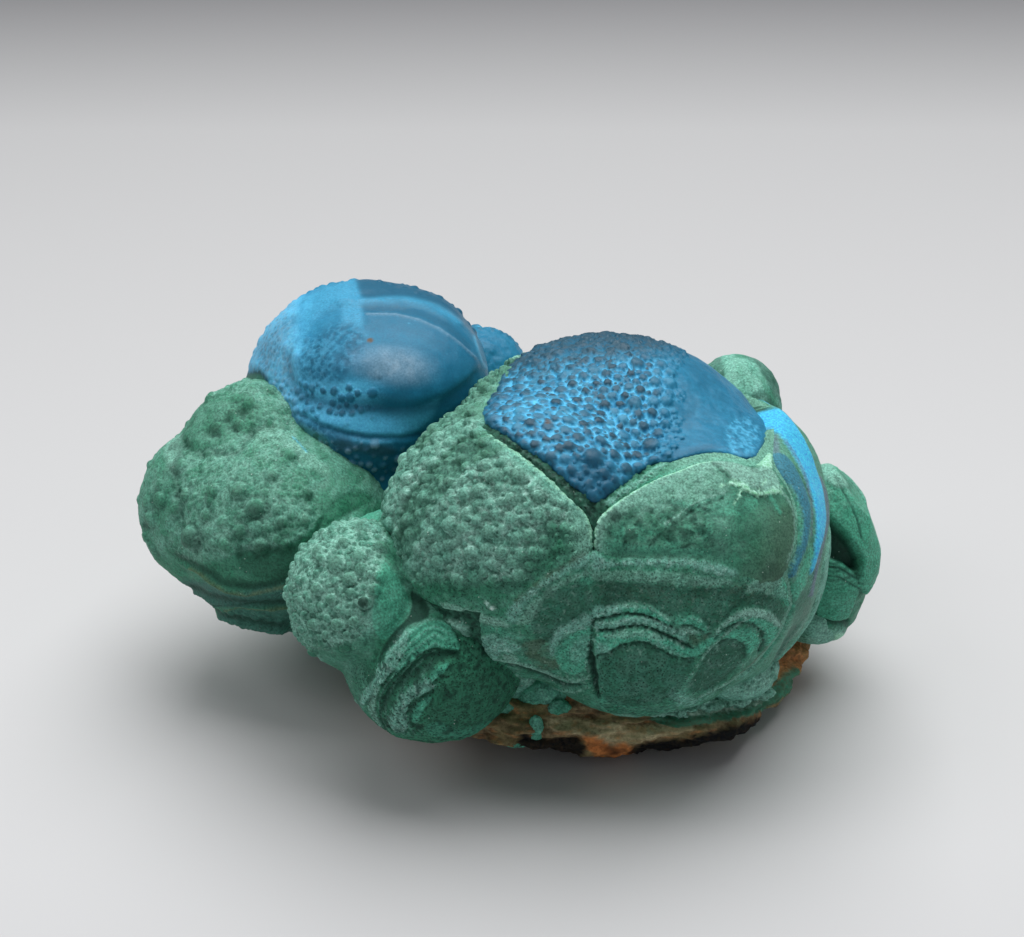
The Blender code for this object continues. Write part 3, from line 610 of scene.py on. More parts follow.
# Single points and small outlines
CAP_TIP, CAP_FLECK, CAP_HOLLOW = (597, 492), (549, 423), (744, 436)
BLUE_FLECK, BLUE_SHEEN, SMALL_KNOB, MOSSY_POINT = (370, 344), (392, 366), (364, 603), (440, 420)
CAP_STROKES = [("mauve", 0.6, 0.0, 2.5, [(757, 398), (765, 412), (771, 428), (772, 446)])]
LEFT_DOME_STROKES = [
    ("mint", 0.9, 0.1, 1.8, [(447, 420), (446, 416), (449, 413)]),
    ("chalk", 1.0, 0.1, 3.0, [(488, 604), (494, 608)]),
    ("brown", 0.6, -0.1, 9.0, [(583, 557), (570, 566), (552, 576), (536, 588), (520, 602)]),
]
BLUE_SHELF = [(316, 440), (345, 441), (392, 445), (408, 455), (396, 480), (362, 484), (338, 468)]
BLUE_NET = [(303, 350), (322, 330), (352, 322), (366, 342), (352, 362), (345, 384), (318, 388), (302, 376)]
SHELL_ROLL = [(816, 566), (836, 560), (856, 574), (862, 600), (850, 618), (824, 616)]
LEFT_DIMPLES = [(213, 430, 8), (243, 412, 7), (185, 443, 8), (227, 420, 5), (235, 428, 6), (178, 495, 5),
    (145, 525, 7)]


# skins


def smooth(low, high, values):
    """0 at low and 1 at high, rounded at both ends; low may be the larger."""
    share = np.clip((values - low) / (high - low), 0, 1)
    return share * share * (3 - 2 * share)


def rounded(points, steps=3):
    """A closed outline with its bends rounded."""
    return np.array(curve(np.vstack([points[-1:], points, points[:2]]), steps))


def hump(distance, width):
    """1 where the distance is 0, falling off like a bell."""
    return np.exp(-(distance / width) ** 2)


def pixel_gap(px, py, line):
    """Distance in pixels to a line of photo pixels."""
    gap = np.full(len(px), 99.0)
    for (x0, y0), (x1, y1) in zip(line[:-1], line[1:]):
        dx, dy = x1 - x0, y1 - y0
        share = np.clip(((px - x0) * dx + (py - y0) * dy) / max(dx * dx + dy * dy, 1e-9), 0, 1)
        gap = np.minimum(gap, np.hypot(px - x0 - share * dx, py - y0 - share * dy))
    return gap


def to_line(points, ways, line, reach=FAR):
    """Distance in mm to a line, positive on its left from outside, and the share of its length there."""
    distance = np.full(len(points), float(reach))
    side = np.ones(len(points))
    along = np.zeros(len(points))
    lowest, highest = line.min(axis=0) - reach, line.max(axis=0) + reach
    near = np.flatnonzero(((points > lowest) & (points < highest)).all(axis=1))
    here, way = points[near], ways[near]
    best, turn, share_of = distance[near], side[near], along[near]
    last = len(line) - 1
    for place in range(last):
        start, span = line[place], line[place + 1] - line[place]
        share = np.clip(((here - start) @ span) / max(span @ span, 1e-9), 0, 1)
        away = here - (start + share[:, None] * span)
        gap = np.sqrt((away * away).sum(axis=1))
        closer = np.flatnonzero(gap < best)
        best[closer] = gap[closer]
        share_of[closer] = (place + share[closer]) / last
        left = np.cross(way[closer], span)
        turn[closer] = np.where((away[closer] * left).sum(axis=1) < 0, -1.0, 1.0)
    distance[near], side[near], along[near] = best, turn, share_of
    return distance * side, along


def inside_loop(form, points, ways, loop):
    """Signed distance in mm to a closed loop on the form, positive inside it."""
    rim = form.ways_to(loop)
    axis = rim.mean(axis=0)
    axis /= np.linalg.norm(axis)
    first = np.cross(axis, (0.0, 0.0, 1.0))
    first /= np.linalg.norm(first)
    second = np.cross(axis, first)

    def chart(directions):
        flat = np.stack([directions @ first, directions @ second], axis=1)
        size = np.maximum(np.linalg.norm(flat, axis=1), 1e-9)
        return flat * (np.arccos(np.clip(directions @ axis, -1, 1)) / size)[:, None]

    here, edge = chart(ways), chart(rim)
    within = np.zeros(len(points), bool)
    for (x0, y0), (x1, y1) in zip(edge, np.roll(edge, -1, axis=0)):
        crosses = (y0 > here[:, 1]) != (y1 > here[:, 1])
        within ^= crosses & (here[:, 0] < (x1 - x0) * (here[:, 1] - y0) / (y1 - y0 + 1e-12) + x0)
    distance = np.abs(to_line(points, ways, np.vstack([loop, loop[:1]]))[0])
    return np.where(within, distance, -distance)


class Skin:
    """A closed surface about a form's origin while it is shaped: fine inside its loop, coarse elsewhere."""

    def __init__(self, form, loop=None, base=6, levels=2, neighbours=(), under=()):
        self.form = form
        self.loop = loop
        self.mesh = bmesh.new()
        bmesh.ops.create_icosphere(self.mesh, subdivisions=base, radius=1.0)
        for _ in range(levels):
            self.measure()
            seen = (self.inside > -0.9) & (self.points[:, 2] > -2)
            for other in neighbours:
                seen &= other.depth(self.points) < 2.0
            for other in under:
                seen &= inside_loop(form, self.points, self.ways, other) < 0.9
            self.mesh.edges.ensure_lookup_table()
            edges = [edge for edge in self.mesh.edges if all(seen[vert.index] for vert in edge.verts)]
            bmesh.ops.subdivide_edges(self.mesh, edges=edges, cuts=1)
            for vert in self.mesh.verts:
                vert.co.normalize()
            self.mesh.verts.index_update()
        bmesh.ops.triangulate(self.mesh, faces=self.mesh.faces[:])
        self.measure()
        self.neighbours = neighbours
        self.relief = np.zeros(len(self.points))
        self.marks = {}
        self.find_pixels()
        self.shown = self.inside > -1.5

    def measure(self):
        self.mesh.verts.ensure_lookup_table()
        self.ways = np.array([tuple(vert.co) for vert in self.mesh.verts])
        self.ways /= np.linalg.norm(self.ways, axis=1)[:, None]
        self.points = self.form.surface(self.ways)
        if self.loop is None:
            self.inside = np.full(len(self.points), FAR)
        else:
            self.inside = inside_loop(self.form, self.points, self.ways, self.loop)

    def find_pixels(self):
        """Finds where the photograph shows each point, with its relief so far."""
        self.px, self.py = photo_pixels(self.points + self.ways * self.relief[:, None])

    def mark(self, name, amount):
        """Raises a named mark, which the material reads, to the amount where that is more."""
        held = self.marks.get(name, np.zeros(len(self.points)))
        self.marks[name] = np.maximum(held, np.clip(amount, 0, 1))

    def across(self, line, reach=6.0):
        distance, along = to_line(self.points, self.ways, line, reach)
        return distance, smooth(0, 0.07, along) * smooth(1, 0.93, along)

    def beyond(self, line, pixel, reach=6.0):
        """Distance from a line, positive on the side of the pixel, and a fade towards the line's ends."""
        away, ends = self.across(line, reach)
        side = away[np.argmin(np.hypot(self.px - pixel[0], self.py - pixel[1]))]
        return (away if side > 0 else -away), ends

    def cloud(self, size, octaves=3, shift=0.0):
        """Cloudy noise of about -1 to 1, with lumps of the size in mm."""
        values = np.zeros(len(self.points))
        for index in np.flatnonzero(self.shown):
            x, y, z = self.points[index] / size
            values[index] = noise.fractal(Vector((x + shift, y - shift, z + 2 * shift)), 0.8, 2.0, octaves)
        return values

    @cached_property
    def wobble(self):
        """The noise that makes edges ragged."""
        return self.cloud(0.8, 3, 20.0)

    @cached_property
    def grit(self):
        """The finest noise, of single grains."""
        return self.cloud(0.35, 2, 3.0)

    def close_to(self, line, margin):
        """Which points face the camera and show within the margin, in pixels, of a photo line's box."""
        low, high = line.min(axis=0) - margin, line.max(axis=0) + margin
        return np.flatnonzero((self.ways @ FORWARD < 0.25) & (self.px > low[0]) & (self.px < high[0])
                              & (self.py > low[1]) & (self.py < high[1]))

    def patch(self, outline, soft=1.0, ragged=1.6):
        """1 inside an outline of photo pixels, where the skin faces the camera, and 0 outside it."""
        shape = rounded(np.array(outline, float))
        near = self.close_to(shape, 3 * soft + 3)
        px, py = self.px[near], self.py[near]
        within = np.zeros(len(near), bool)
        for (x0, y0), (x1, y1) in zip(shape, np.roll(shape, -1, axis=0)):
            crosses = (y0 > py) != (y1 > py)
            within ^= crosses & (px < (x1 - x0) * (py - y0) / (y1 - y0 + 1e-9) + x0)
        gap = pixel_gap(px, py, np.vstack([shape, shape[:1]]))
        inward = np.where(within, gap, -gap) + ragged * self.wobble[near]
        found = np.zeros(len(self.px))
        found[near] = smooth(-soft, soft, inward) * smooth(0.25, 0.1, self.ways[near] @ FORWARD)
        return found

    def paint(self, patches, strokes=(), soft=1.0, ragged=0.6):
        """Lays the areas and then the strokes on the skin, as marks and as relief."""
        for mark, strength, rise, outline in patches:
            amount = self.patch(outline, soft, ragged)
            self.relief += rise * (amount if soft > 2 else self.patch(outline, 2.2, ragged))
            if mark == "sugar":
                amount = self.patch(outline, 2.2, 3.0)
                self.mark("frost", amount * strength * (0.95 + 0.3 * self.wobble))
                self.mark("bright", amount * strength * 0.5)
                self.mark("chalk", amount * strength * smooth(0.2, 0.5, self.grit) * 0.35)
                self.relief += 0.08 * amount * self.grit
            else:
                self.mark(mark, amount * strength)
        for mark, strength, rise, width, pixels in strokes:
            line = np.array(pixels, float)
            near = self.close_to(line, width + 3)
            gap = pixel_gap(self.px[near], self.py[near], line) + ragged * 0.6 * self.wobble[near]
            amount = np.zeros(len(self.px))
            blur = 0.4 + 0.15 * width * soft
            amount[near] = smooth(width * 0.5 + blur, width * 0.5 - blur, gap)
            self.relief += rise * amount
            self.mark(mark, amount * strength)

    def stand_out(self, rounds):
        """How far each place stands above its surroundings, in mm; negative in a hollow."""
        pairs = np.array([(edge.verts[0].index, edge.verts[1].index) for edge in self.mesh.edges])
        ends = np.concatenate([pairs[:, 0], pairs[:, 1]])
        others = np.concatenate([pairs[:, 1], pairs[:, 0]])
        many = np.bincount(ends, minlength=len(self.relief))
        around = self.relief
        for _ in range(rounds):
            around = np.bincount(ends, around[others], len(self.relief)) / many
        return self.relief - around

    def bump_field(self, rng, where, sizes, knobs=(), rise=0.45, crowd=0.86, flat=1.0, round_off=1.0):
        """Round bumps: their lift, how near the top each place is, and a chance tone for each whole bump.

        sizes: (radius in mm, how many or 0 for as many as fit), the largest first.
        """
        tree = KDTree(len(self.points))
        for index, point in enumerate(self.points):
            tree.insert(point, index)
        tree.balance()
        clear = np.full(len(self.points), 1e3)
        widest = max([1.12 * size for size, _ in sizes] + [radius * PX_MM for _, _, radius in knobs])
        lift = np.zeros(len(self.points))
        top = np.zeros(len(self.points))
        tone = np.zeros(len(self.points))
        uneven = 1 + 0.14 * self.wobble

        def grow(centre, radius, height, shade):
            for _, near, gap in tree.find_range(centre, radius * (crowd + 0.05) + widest):
                clear[near] = min(clear[near], gap - radius * crowd)
                share = gap / radius * uneven[near]
                if share < 1:
                    full = 1 - share ** (2 * flat)
                    top[near] = max(top[near], full)
                    if height * full ** round_off > lift[near]:
                        lift[near] = height * full ** round_off
                        tone[near] = shade

        places = self.form.under([knob[:2] for knob in knobs]) if knobs else ()
        for place, (_, _, radius) in zip(places, knobs):
            grow(place, radius * PX_MM, rise * radius * PX_MM * 1.15, 1.0)
        for size, many in sizes:
            free = (where > rng.random(len(where))) & (clear > size * crowd)
            order = rng.permutation(np.flatnonzero(free))
            made = 0
            for index in order:
                radius = size * rng.uniform(0.82, 1.12)
                if clear[index] < radius * crowd:
                    continue
                grow(self.points[index], radius, rise * radius * rng.uniform(0.7, 1.15), rng.random())
                made += 1
                if many and made >= many:
                    break
        return lift, top, tone

    def finish(self, name, material, node="botryoidal_crust", low=0.2):
        """Makes the object: closed, smooth-shaded, and never under the floor."""
        for other in self.neighbours:
            # what lies inside a neighbour keeps clear of the skin above it
            self.relief = np.where(other.depth(self.points) > 1.2, np.minimum(self.relief, 0), self.relief)
        # painted shade in the hollows: each place lying below its surroundings is darkened
        self.mark("pit", smooth(0.03, 0.2, -self.stand_out(16)))
        places = self.points + self.ways * self.relief[:, None]
        places[:, 2] = np.maximum(places[:, 2], low)
        data = bpy.data.meshes.new(name)
        self.mesh.to_mesh(data)
        self.mesh.free()
        data.vertices.foreach_set("co", (places * MM).ravel())
        data.polygons.foreach_set("use_smooth", np.ones(len(data.polygons), bool))
        for mark, amount in self.marks.items():
            layer = data.attributes.new(mark, "FLOAT", "POINT")
            layer.data.foreach_set("value", np.asarray(amount, np.float32))
        data.materials.append(material)
        data.update()
        piece = bpy.data.objects.new(name, data)
        bpy.context.scene.collection.objects.link(piece)
        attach(piece, "root")
        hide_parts(node)
        return piece


# materials

PALE_GREEN, DARK_GREEN, WHITE_GRAIN = "#8cc0b0", "#12332a", "#cfe6dc"
PEBBLE_WIDTH, PEBBLE_BEND = 0.95, 0.35  # low pebbles, and how far the fine noise shifts their edges, mm
PIT_SPACING = 0.48              # fine round pits, mm
GRAIN_SHARE = 0.16              # the share of pebbles with a white grain at the middle


def node(tree, kind, settings=None, inputs=None):
    """Adds a node with its settings, and its inputs as values or as sockets to link from."""
    made = tree.nodes.new(kind)
    for name, value in (settings or {}).items():
        if name == "stops":
            while len(made.color_ramp.elements) < len(value):
                made.color_ramp.elements.new(1.0)
            for element, (place, colour) in zip(made.color_ramp.elements, value):
                element.position, element.color = place, colour
        else:
            setattr(made, name, value)
    for key, value in (inputs or {}).items():
        if isinstance(value, bpy.types.NodeSocket):
            tree.links.new(value, made.inputs[key])
        else:
            made.inputs[key].default_value = value
    return made


def lay_marks(tree, colour, speck, layers):
    """Lays each mark's colour over the ground. layers: (mark, colour, how ragged its edge is, strength)."""
    for mark, over, ragged, strength in layers:
        amount = node(tree, "ShaderNodeAttribute", {"attribute_name": mark}).outputs["Fac"]
        shaken = node(tree, "ShaderNodeMath", {"operation": "MULTIPLY_ADD"},
                      {0: speck.outputs[0], 1: ragged, 2: -ragged / 2}).outputs[0]
        held = node(tree, "ShaderNodeMath", {"operation": "MULTIPLY"}, {0: amount, 1: strength}).outputs[0]
        # the noise only moves a mark's edge, so it is damped where there is no mark
        gate = node(tree, "ShaderNodeMath", {"operation": "MULTIPLY", "use_clamp": True},
                    {0: amount, 1: 3.0}).outputs[0]
        moved = node(tree, "ShaderNodeMath", {"operation": "MULTIPLY_ADD", "use_clamp": True},
                     {0: shaken, 1: gate, 2: held}).outputs[0]
        colour = node(tree, "ShaderNodeMix", {"data_type": "RGBA"},
                      {0: moved, 6: colour, 7: srgb(over)}).outputs[2]
    return colour


def lay_pebbles_and_pits(tree, colour, where, speck, pebble_colours, grains):
    """Adds low pebbles where the skin is marked as pebbled, and dark pits where it is marked as pitted."""
    pebbled, pitted = [node(tree, "ShaderNodeAttribute", {"attribute_name": mark}).outputs["Fac"]
                       for mark in ("pebbled", "pitted")]
    bent = node(tree, "ShaderNodeVectorMath", {"operation": "MULTIPLY_ADD"},
                {0: speck.outputs["Color"], 1: (PEBBLE_BEND * MM,) * 3, 2: where}).outputs[0]
    cells = node(tree, "ShaderNodeTexVoronoi", None, {"Vector": bent, "Scale": 1 / (PEBBLE_WIDTH * MM)})
    dots = node(tree, "ShaderNodeTexVoronoi", None, {"Vector": where, "Scale": 1 / (PIT_SPACING * MM)})
    chance = node(tree, "ShaderNodeSeparateXYZ", None, {0: cells.outputs["Color"]}).outputs[0]
    rare = node(tree, "ShaderNodeMath", {"operation": "GREATER_THAN"},
                {0: chance, 1: 1 - GRAIN_SHARE}).outputs[0]
    parts = []
    # dome, seam, white grain and hole: (cells, distances where it starts and is full, strength, blend, mark)
    for source, edge, full, most, blend, mark in (
            (cells, 0.62, 0.12, 1.0, "SMOOTHSTEP", pebbled), (cells, 0.46, 0.6, 0.7, "LINEAR", pebbled),
            (cells, 0.12, 0.05, grains, "LINEAR", rare), (dots, 0.36, 0.12, 1.0, "LINEAR", pitted)):
        part = node(tree, "ShaderNodeMapRange", {"interpolation_type": blend},
                    {0: source.outputs["Distance"], 1: edge, 2: full, 4: most}).outputs[0]
        parts.append(node(tree, "ShaderNodeMath", {"operation": "MULTIPLY"}, {0: part, 1: mark}).outputs[0])
    dome, seam, white, hole = parts
    crest = node(tree, "ShaderNodeMath", {"operation": "MULTIPLY"}, {0: dome, 1: chance}).outputs[0]
    for amount, over in ((crest, pebble_colours[0]), (seam, pebble_colours[1]), (white, WHITE_GRAIN),
                         (hole, DARK_GREEN)):
        colour = node(tree, "ShaderNodeMix", {"data_type": "RGBA"},
                      {0: amount, 6: colour, 7: srgb(over)}).outputs[2]
    return colour, dome


def mineral(name, ground, layers, roughness, shine, grain, speckle=0.5, grain_width=0.17, cloud_width=3.0,
            pebble_colours=("#4c7667", "#93c9b8"), grains=0.0):
    """A mineral skin: ground colours over cloudy noise, then its marks, pebbles and pits, specked by grains.

    Widths are in mm. shine is the specular level; grain and speckle say how much the grains show in relief
    and in tone.
    """
    material = bpy.data.materials.get(name)
    if material:
        return material
    material = bpy.data.materials.new(name)
    material.use_nodes = True
    tree = material.node_tree
    shader = tree.nodes["Principled BSDF"]
    where = node(tree, "ShaderNodeTexCoord").outputs["Object"]
    cloud, speck, fine = [
        node(tree, "ShaderNodeTexNoise", None,
             {"Vector": where, "Scale": 1 / (width * MM), "Detail": detail, "Roughness": rough})
        for width, detail, rough in ((cloud_width, 6.0, 0.62), (grain_width * 2.2, 3.0, 0.7),
                                     (grain_width, 4.0, 0.65))]
    colour = node(tree, "ShaderNodeValToRGB", {"stops": ground}, {0: cloud.outputs[0]}).outputs[0]
    colour = lay_marks(tree, colour, speck, layers)
    colour, dome = lay_pebbles_and_pits(tree, colour, where, speck, pebble_colours, grains)
    grey = node(tree, "ShaderNodeMapRange", None,
                {0: speck.outputs[0], 1: 0.3, 2: 0.7, 3: 0.15, 4: 0.85}).outputs[0]
    colour = node(tree, "ShaderNodeMix", {"data_type": "RGBA", "blend_type": "OVERLAY"},
                  {0: speckle, 6: colour, 7: grey}).outputs[2]
    tree.links.new(colour, shader.inputs["Base Color"])
    rough = node(tree, "ShaderNodeMapRange", None,
                 {0: cloud.outputs[0], 1: 0.3, 2: 0.7, 3: roughness - 0.06, 4: roughness + 0.08}).outputs[0]
    # where the skin is marked as glossy it is smoother
    polish = node(tree, "ShaderNodeAttribute", {"attribute_name": "gloss"}).outputs["Fac"]
    rough = node(tree, "ShaderNodeMath", {"operation": "MULTIPLY_ADD", "use_clamp": True},
                 {0: polish, 1: -0.22, 2: rough}).outputs[0]
    tree.links.new(rough, shader.inputs["Roughness"])
    shader.inputs["IOR"].default_value = 1.5
    shader.inputs["Specular IOR Level"].default_value = shine
    height = node(tree, "ShaderNodeMath", {"operation": "MULTIPLY_ADD"},
                  {0: fine.outputs[0], 1: 0.45, 2: dome}).outputs[0]
    bump = node(tree, "ShaderNodeBump", None, {"Strength": grain, "Distance": 0.3 * MM, "Height": height})
    tree.links.new(bump.outputs[0], shader.inputs["Normal"])
    return material


def opaque(colour):
    """A colour setting as RGBA."""
    return tuple(colour) + (1.0,)


def malachite(settings):
    """Fibrous malachite skin: matte to satin green, chalky on edges, with painted highlights on the rims of
    its bumps and greyer on their crowns.
    """
    ground = [(0.3, opaque(settings.malachite_deep)), (0.5, opaque(settings.malachite)),
              (0.72, opaque(settings.malachite_light))]
    layers = [
        ("crown", "#5b8576", 0.4, 0.85), ("moss", "#437a60", 0.5, 0.75),
        ("smooth_green", "#2c7a5b", 0.45, 0.88), ("slate", "#3c6664", 0.3, 0.9),
        ("brown", "#4f4f3f", 0.4, 0.9), ("olive", "#6d7650", 0.4, 0.9), ("bright", "#52b093", 0.45, 0.95),
        ("pale", PALE_GREEN, 0.7, 0.9), ("frost", "#7fb9ab", 0.5, 0.75),
        ("shade", DARK_GREEN, 0.4, 0.9), ("pit", "#1c4538", 0.3, 0.5), ("chalk", "#c2ece0", 0.6, 0.9),
        ("mint", "#a4e4c6", 0.2, 1.0), ("slate_blue", "#3a7d94", 0.4, 0.9), ("blue", "#47bde9", 0.15, 1.0),
        ("plum", "#66748c", 0.3, 0.85)]
    return mineral("fibrous_malachite", ground, layers, roughness=0.62, shine=0.18, grain=0.8, speckle=0.78,
                   grains=0.7)


def chrysocolla(settings):
    """Glassy chrysocolla skin: bright blue between bumps, slate on their crowns, satin where smooth."""
    ground = [(0.3, srgb("#2b8ab8")), (0.5, opaque(settings.chrysocolla)), (0.75, srgb("#5cc4ee"))]
    layers = [
        ("smooth_blue", "#1d7294", 0.2, 0.97), ("ring", "#62c8f3", 0.4, 0.92),
        ("deep", "#1a5b78", 0.3, 0.95), ("crown", "#335566", 0.35, 0.95), ("moss", "#3f7462", 0.4, 0.97),
        ("pale", PALE_GREEN, 0.7, 0.9), ("mauve", "#88a8be", 0.3, 0.9), ("shade", "#0b3346", 0.4, 0.95),
        ("chalk", "#b9d3dc", 0.8, 0.9), ("brown", "#5f4b35", 0.3, 0.95)]
    return mineral("skin_chrysocolla", ground, layers, roughness=0.55, shine=0.2, grain=0.35, speckle=0.25,
                   pebble_colours=("#2c6a86", "#62bfe8"))


def limonite(settings):
    """Earthy limonite with rusty and near-black patches: dull, crumbly, no gloss."""
    ground = [(0.3, srgb("#63503a")), (0.5, opaque(settings.limonite)), (0.7, srgb("#a6946e"))]
    layers = [("tan", "#cfc29b", 0.9, 0.95), ("olive", "#7f7b54", 0.6, 0.9), ("rust", "#d88a50", 0.8, 0.95),
              ("soot", "#15171a", 0.6, 0.98), ("moss", "#3f7f68", 0.7, 0.95), ("chalk", "#a9c4b6", 1.2, 0.8)]
    return mineral("earthy_limonite", ground, layers, roughness=0.85, shine=0.15, grain=0.8, grain_width=0.3,
                   cloud_width=2.2)


# relief and marks of each piece

# px and py are each point's column and row in the photograph, so limits on them are pixels. A name that ends
# in rows or columns, from or to, holds the pixels where a fade is nothing and where it is full. A term such
# as 0.2 * (px - 600) slants the fade about that column. All other lengths are mm, and a mark goes from 0
# to 1. The last number of skin.cloud only picks another stretch of the noise.
SEAM_SLOPE = 1.7                # how steeply a skin sinks outside its loop
DEEPEST = -3.5                  # a skin sinks no further than this under the form, mm


def seam_edge(skin, drop, width):
    """The skin rounds over at its loop, by the drop within about the width, and sinks steeply outside it."""
    s = skin.inside
    skin.relief += np.where(s > 0, -drop * np.exp(-np.maximum(s, 0) / width), -drop + SEAM_SLOPE * s)
    skin.relief = np.maximum(skin.relief, DEEPEST)


def build_blue_cap(settings):
    rng = np.random.default_rng(SEED)
    loop = FRONT.loop(CAP_SEAM, CAP_SEAM_BEHIND)
    skin = Skin(FRONT, loop, levels=settings.fineness, neighbours=[BLUE])
    seam_edge(skin, 0.6, 0.6)
    s, px, py = skin.inside, skin.px, skin.py
    streaked_rows, top_rows, upper_rows, rim_rows = (380, 354), (372, 342), (400, 360), (352, 336)
    bumpy_columns, stroked_columns, ringed_columns = (684, 640), (720, 660), (640, 600)
    deep_columns, rim_columns, corner_columns, corner_rows = (735, 700), (735, 750), (640, 690), (420, 380)
    (hollow_x, hollow_y), hollow_foot = CAP_HOLLOW, 458
    cloud = skin.cloud(4.0)
    streaky = smooth(*streaked_rows, py + 0.2 * (px - 600) + 5 * cloud)
    bumpy = smooth(*bumpy_columns, px + 0.3 * (py - 430) * (py > 430) + 10 * cloud) * smooth(0.2, 1.0, s)
    skin.relief += 0.22 * cloud * smooth(0.2, 2, s)
    lift, top, tone = skin.bump_field(rng, bumpy * (1 - 0.93 * streaky),
                                      [(1.25, 50), (1.0, 150), (0.76, 230), (0.55, 200), (0.38, 110)],
                                      CAP_KNOBS, rise=0.6, crowd=0.88, flat=1.9, round_off=0.85)
    web = skin.cloud(0.9, 3, 7.0)
    skin.relief += lift * (1 - 0.4 * streaky) + (0.1 * web + 0.03 * skin.grit) * bumpy * (1 - 0.6 * top)
    skin.relief -= 0.05 * smooth(0.15, 0.5, skin.grit) * smooth(0.6, 0.9, top)
    # the crowns fade towards the cap's lowest corner, which is deep blue
    tip = FRONT.under([CAP_TIP])[0]
    lowest = smooth(9.0, 3.0, np.linalg.norm(skin.points - tip, axis=1))
    skin.mark("crown", smooth(0.3, 0.7, top + 0.15 * skin.grit) * (0.5 + 0.5 * tone) * bumpy
              * (1 - 0.6 * lowest))
    skin.mark("shade", smooth(0.55, 0.95, top) * tone ** 2 * bumpy * 0.35)
    skin.mark("ring", (1 - smooth(0.02, 0.22, top)) * bumpy * (1 - 0.6 * streaky) * smooth(-0.7, 0.2, cloud))
    skin.mark("deep", smooth(0.0, 0.7, skin.cloud(3.0, 2, 41.0)) * bumpy * 0.35)
    skin.mark("smooth_blue", (1 - bumpy) * smooth(0, 1.5, s) * (0.8 + 0.2 * smooth(-0.4, 0.4, web)))
    skin.mark("gloss", np.maximum((1 - bumpy) * 0.8, smooth(0.3, 0.8, top)))
    # a shallow hollow near the right corner, with pale strands
    dimple = np.hypot((px - hollow_x) / 18, (py - hollow_y) / 21)
    strands = smooth(-0.2, 0.3, skin.cloud(0.7, 2, 31.0))
    skin.mark("ring", smooth(1.15, 0.8, dimple + 0.15 * web) * strands * (py < hollow_foot) * 0.55)
    skin.relief += (0.1 * web - 0.2) * smooth(1.3, 0.6, dimple) * (s > 0)
    skin.mark("deep", lowest * 0.9)
    skin.mark("deep", smooth(2.6, 0.5, s) * 0.7 * smooth(*deep_columns, px))
    skin.mark("deep", smooth(1.6, 0.3, s) * smooth(*rim_columns, px) * 0.7)
    skin.mark("deep", smooth(*top_rows, py + 0.15 * (px - 600) * (px < 600)))
    skin.mark("shade", smooth(4.0, 0.5, s) * smooth(*corner_columns, px) * smooth(*corner_rows, py) * 0.5)
    skin.mark("shade", smooth(*rim_rows, py + 0.1 * np.abs(px - 640)) * smooth(-0.5, 0.3, web) * 0.4)
    # slanting ridges on the streaked top
    strokes = np.sin((0.5 * (px - 560) + 0.9 * (py - 350)) * 0.55 + 5 * skin.cloud(2.2, 3, 11.0))
    skin.mark("crown", streaky * smooth(-0.1, 0.7, strokes) * smooth(*stroked_columns, px))
    skin.mark("ring", streaky * smooth(0.2, 0.8, -strokes) * smooth(*ringed_columns, px) * 0.55)
    skin.relief += 0.22 * strokes * streaky * smooth(*stroked_columns, px)
    skin.mark("deep", smooth(0.0, 0.6, skin.cloud(7.0, 2, 5.0)) * (1 - bumpy) * 0.4)
    skin.mark("deep", smooth(0.2, 0.7, skin.cloud(2.0, 3, 25.0)) * (1 - bumpy)
              * smooth(*upper_rows, py) * 0.6)
    skin.mark("shade", smooth(0.35, -0.1, s))
    fleck = FRONT.under([CAP_FLECK])[0]
    skin.mark("brown", smooth(0.8, 0.4, np.linalg.norm(skin.points - fleck, axis=1)) * 0.8)
    skin.paint((), CAP_STROKES)
    return skin.finish("blue_cap", chrysocolla(settings))


def malachite_bumps(skin, rng, where, sizes, knobs=(), rise=0.5, frost=0.6, dark=1.0, pebbled=0.7):
    """Low merged bumps with greyer crowns, pale frosted veins between them, and painted highlights on their
    rims.
    """
    lift, top, tone = skin.bump_field(rng, where, sizes, knobs, rise, crowd=0.82, flat=1.5, round_off=0.9)
    skin.relief += lift
    here = smooth(0.1, 0.6, where)
    skin.mark("crown", smooth(0.4, 0.85, top + 0.15 * skin.grit) * (0.25 + 0.75 * tone) * dark)
    # pale veins between the bumps, and pale rims round them that are painted highlights
    veins = smooth(0.7, 0.95, 1 - 2 * np.abs(skin.cloud(1.1, 3, 15.0)))
    patchy = smooth(-0.6, 0.4, skin.cloud(4.0, 2, 12.0))
    rim_highlight = smooth(0.02, 0.15, top) * smooth(0.55, 0.3, top)
    skin.relief += 0.05 * veins * here * (1 - 0.6 * smooth(0.3, 0.7, top))
    skin.mark("pale", here * np.maximum(0.25 + 0.5 * veins, 0.8 * rim_highlight) * patchy * frost
              * (1 - 0.8 * smooth(0.4, 0.8, top)))
    # the chalk threads carry the painted rim highlights too
    threads = np.maximum(smooth(0.8, 0.97, 1 - 2 * np.abs(skin.cloud(0.8, 2, 16.0))), 0.8 * rim_highlight)
    skin.mark("chalk", here * frost * patchy * threads * (0.35 + 0.3 * skin.grit)
              * (1 - smooth(0.5, 0.8, top)))
    skin.mark("pebbled", here * pebbled * (1 - 0.8 * smooth(0.3, 0.6, top)))


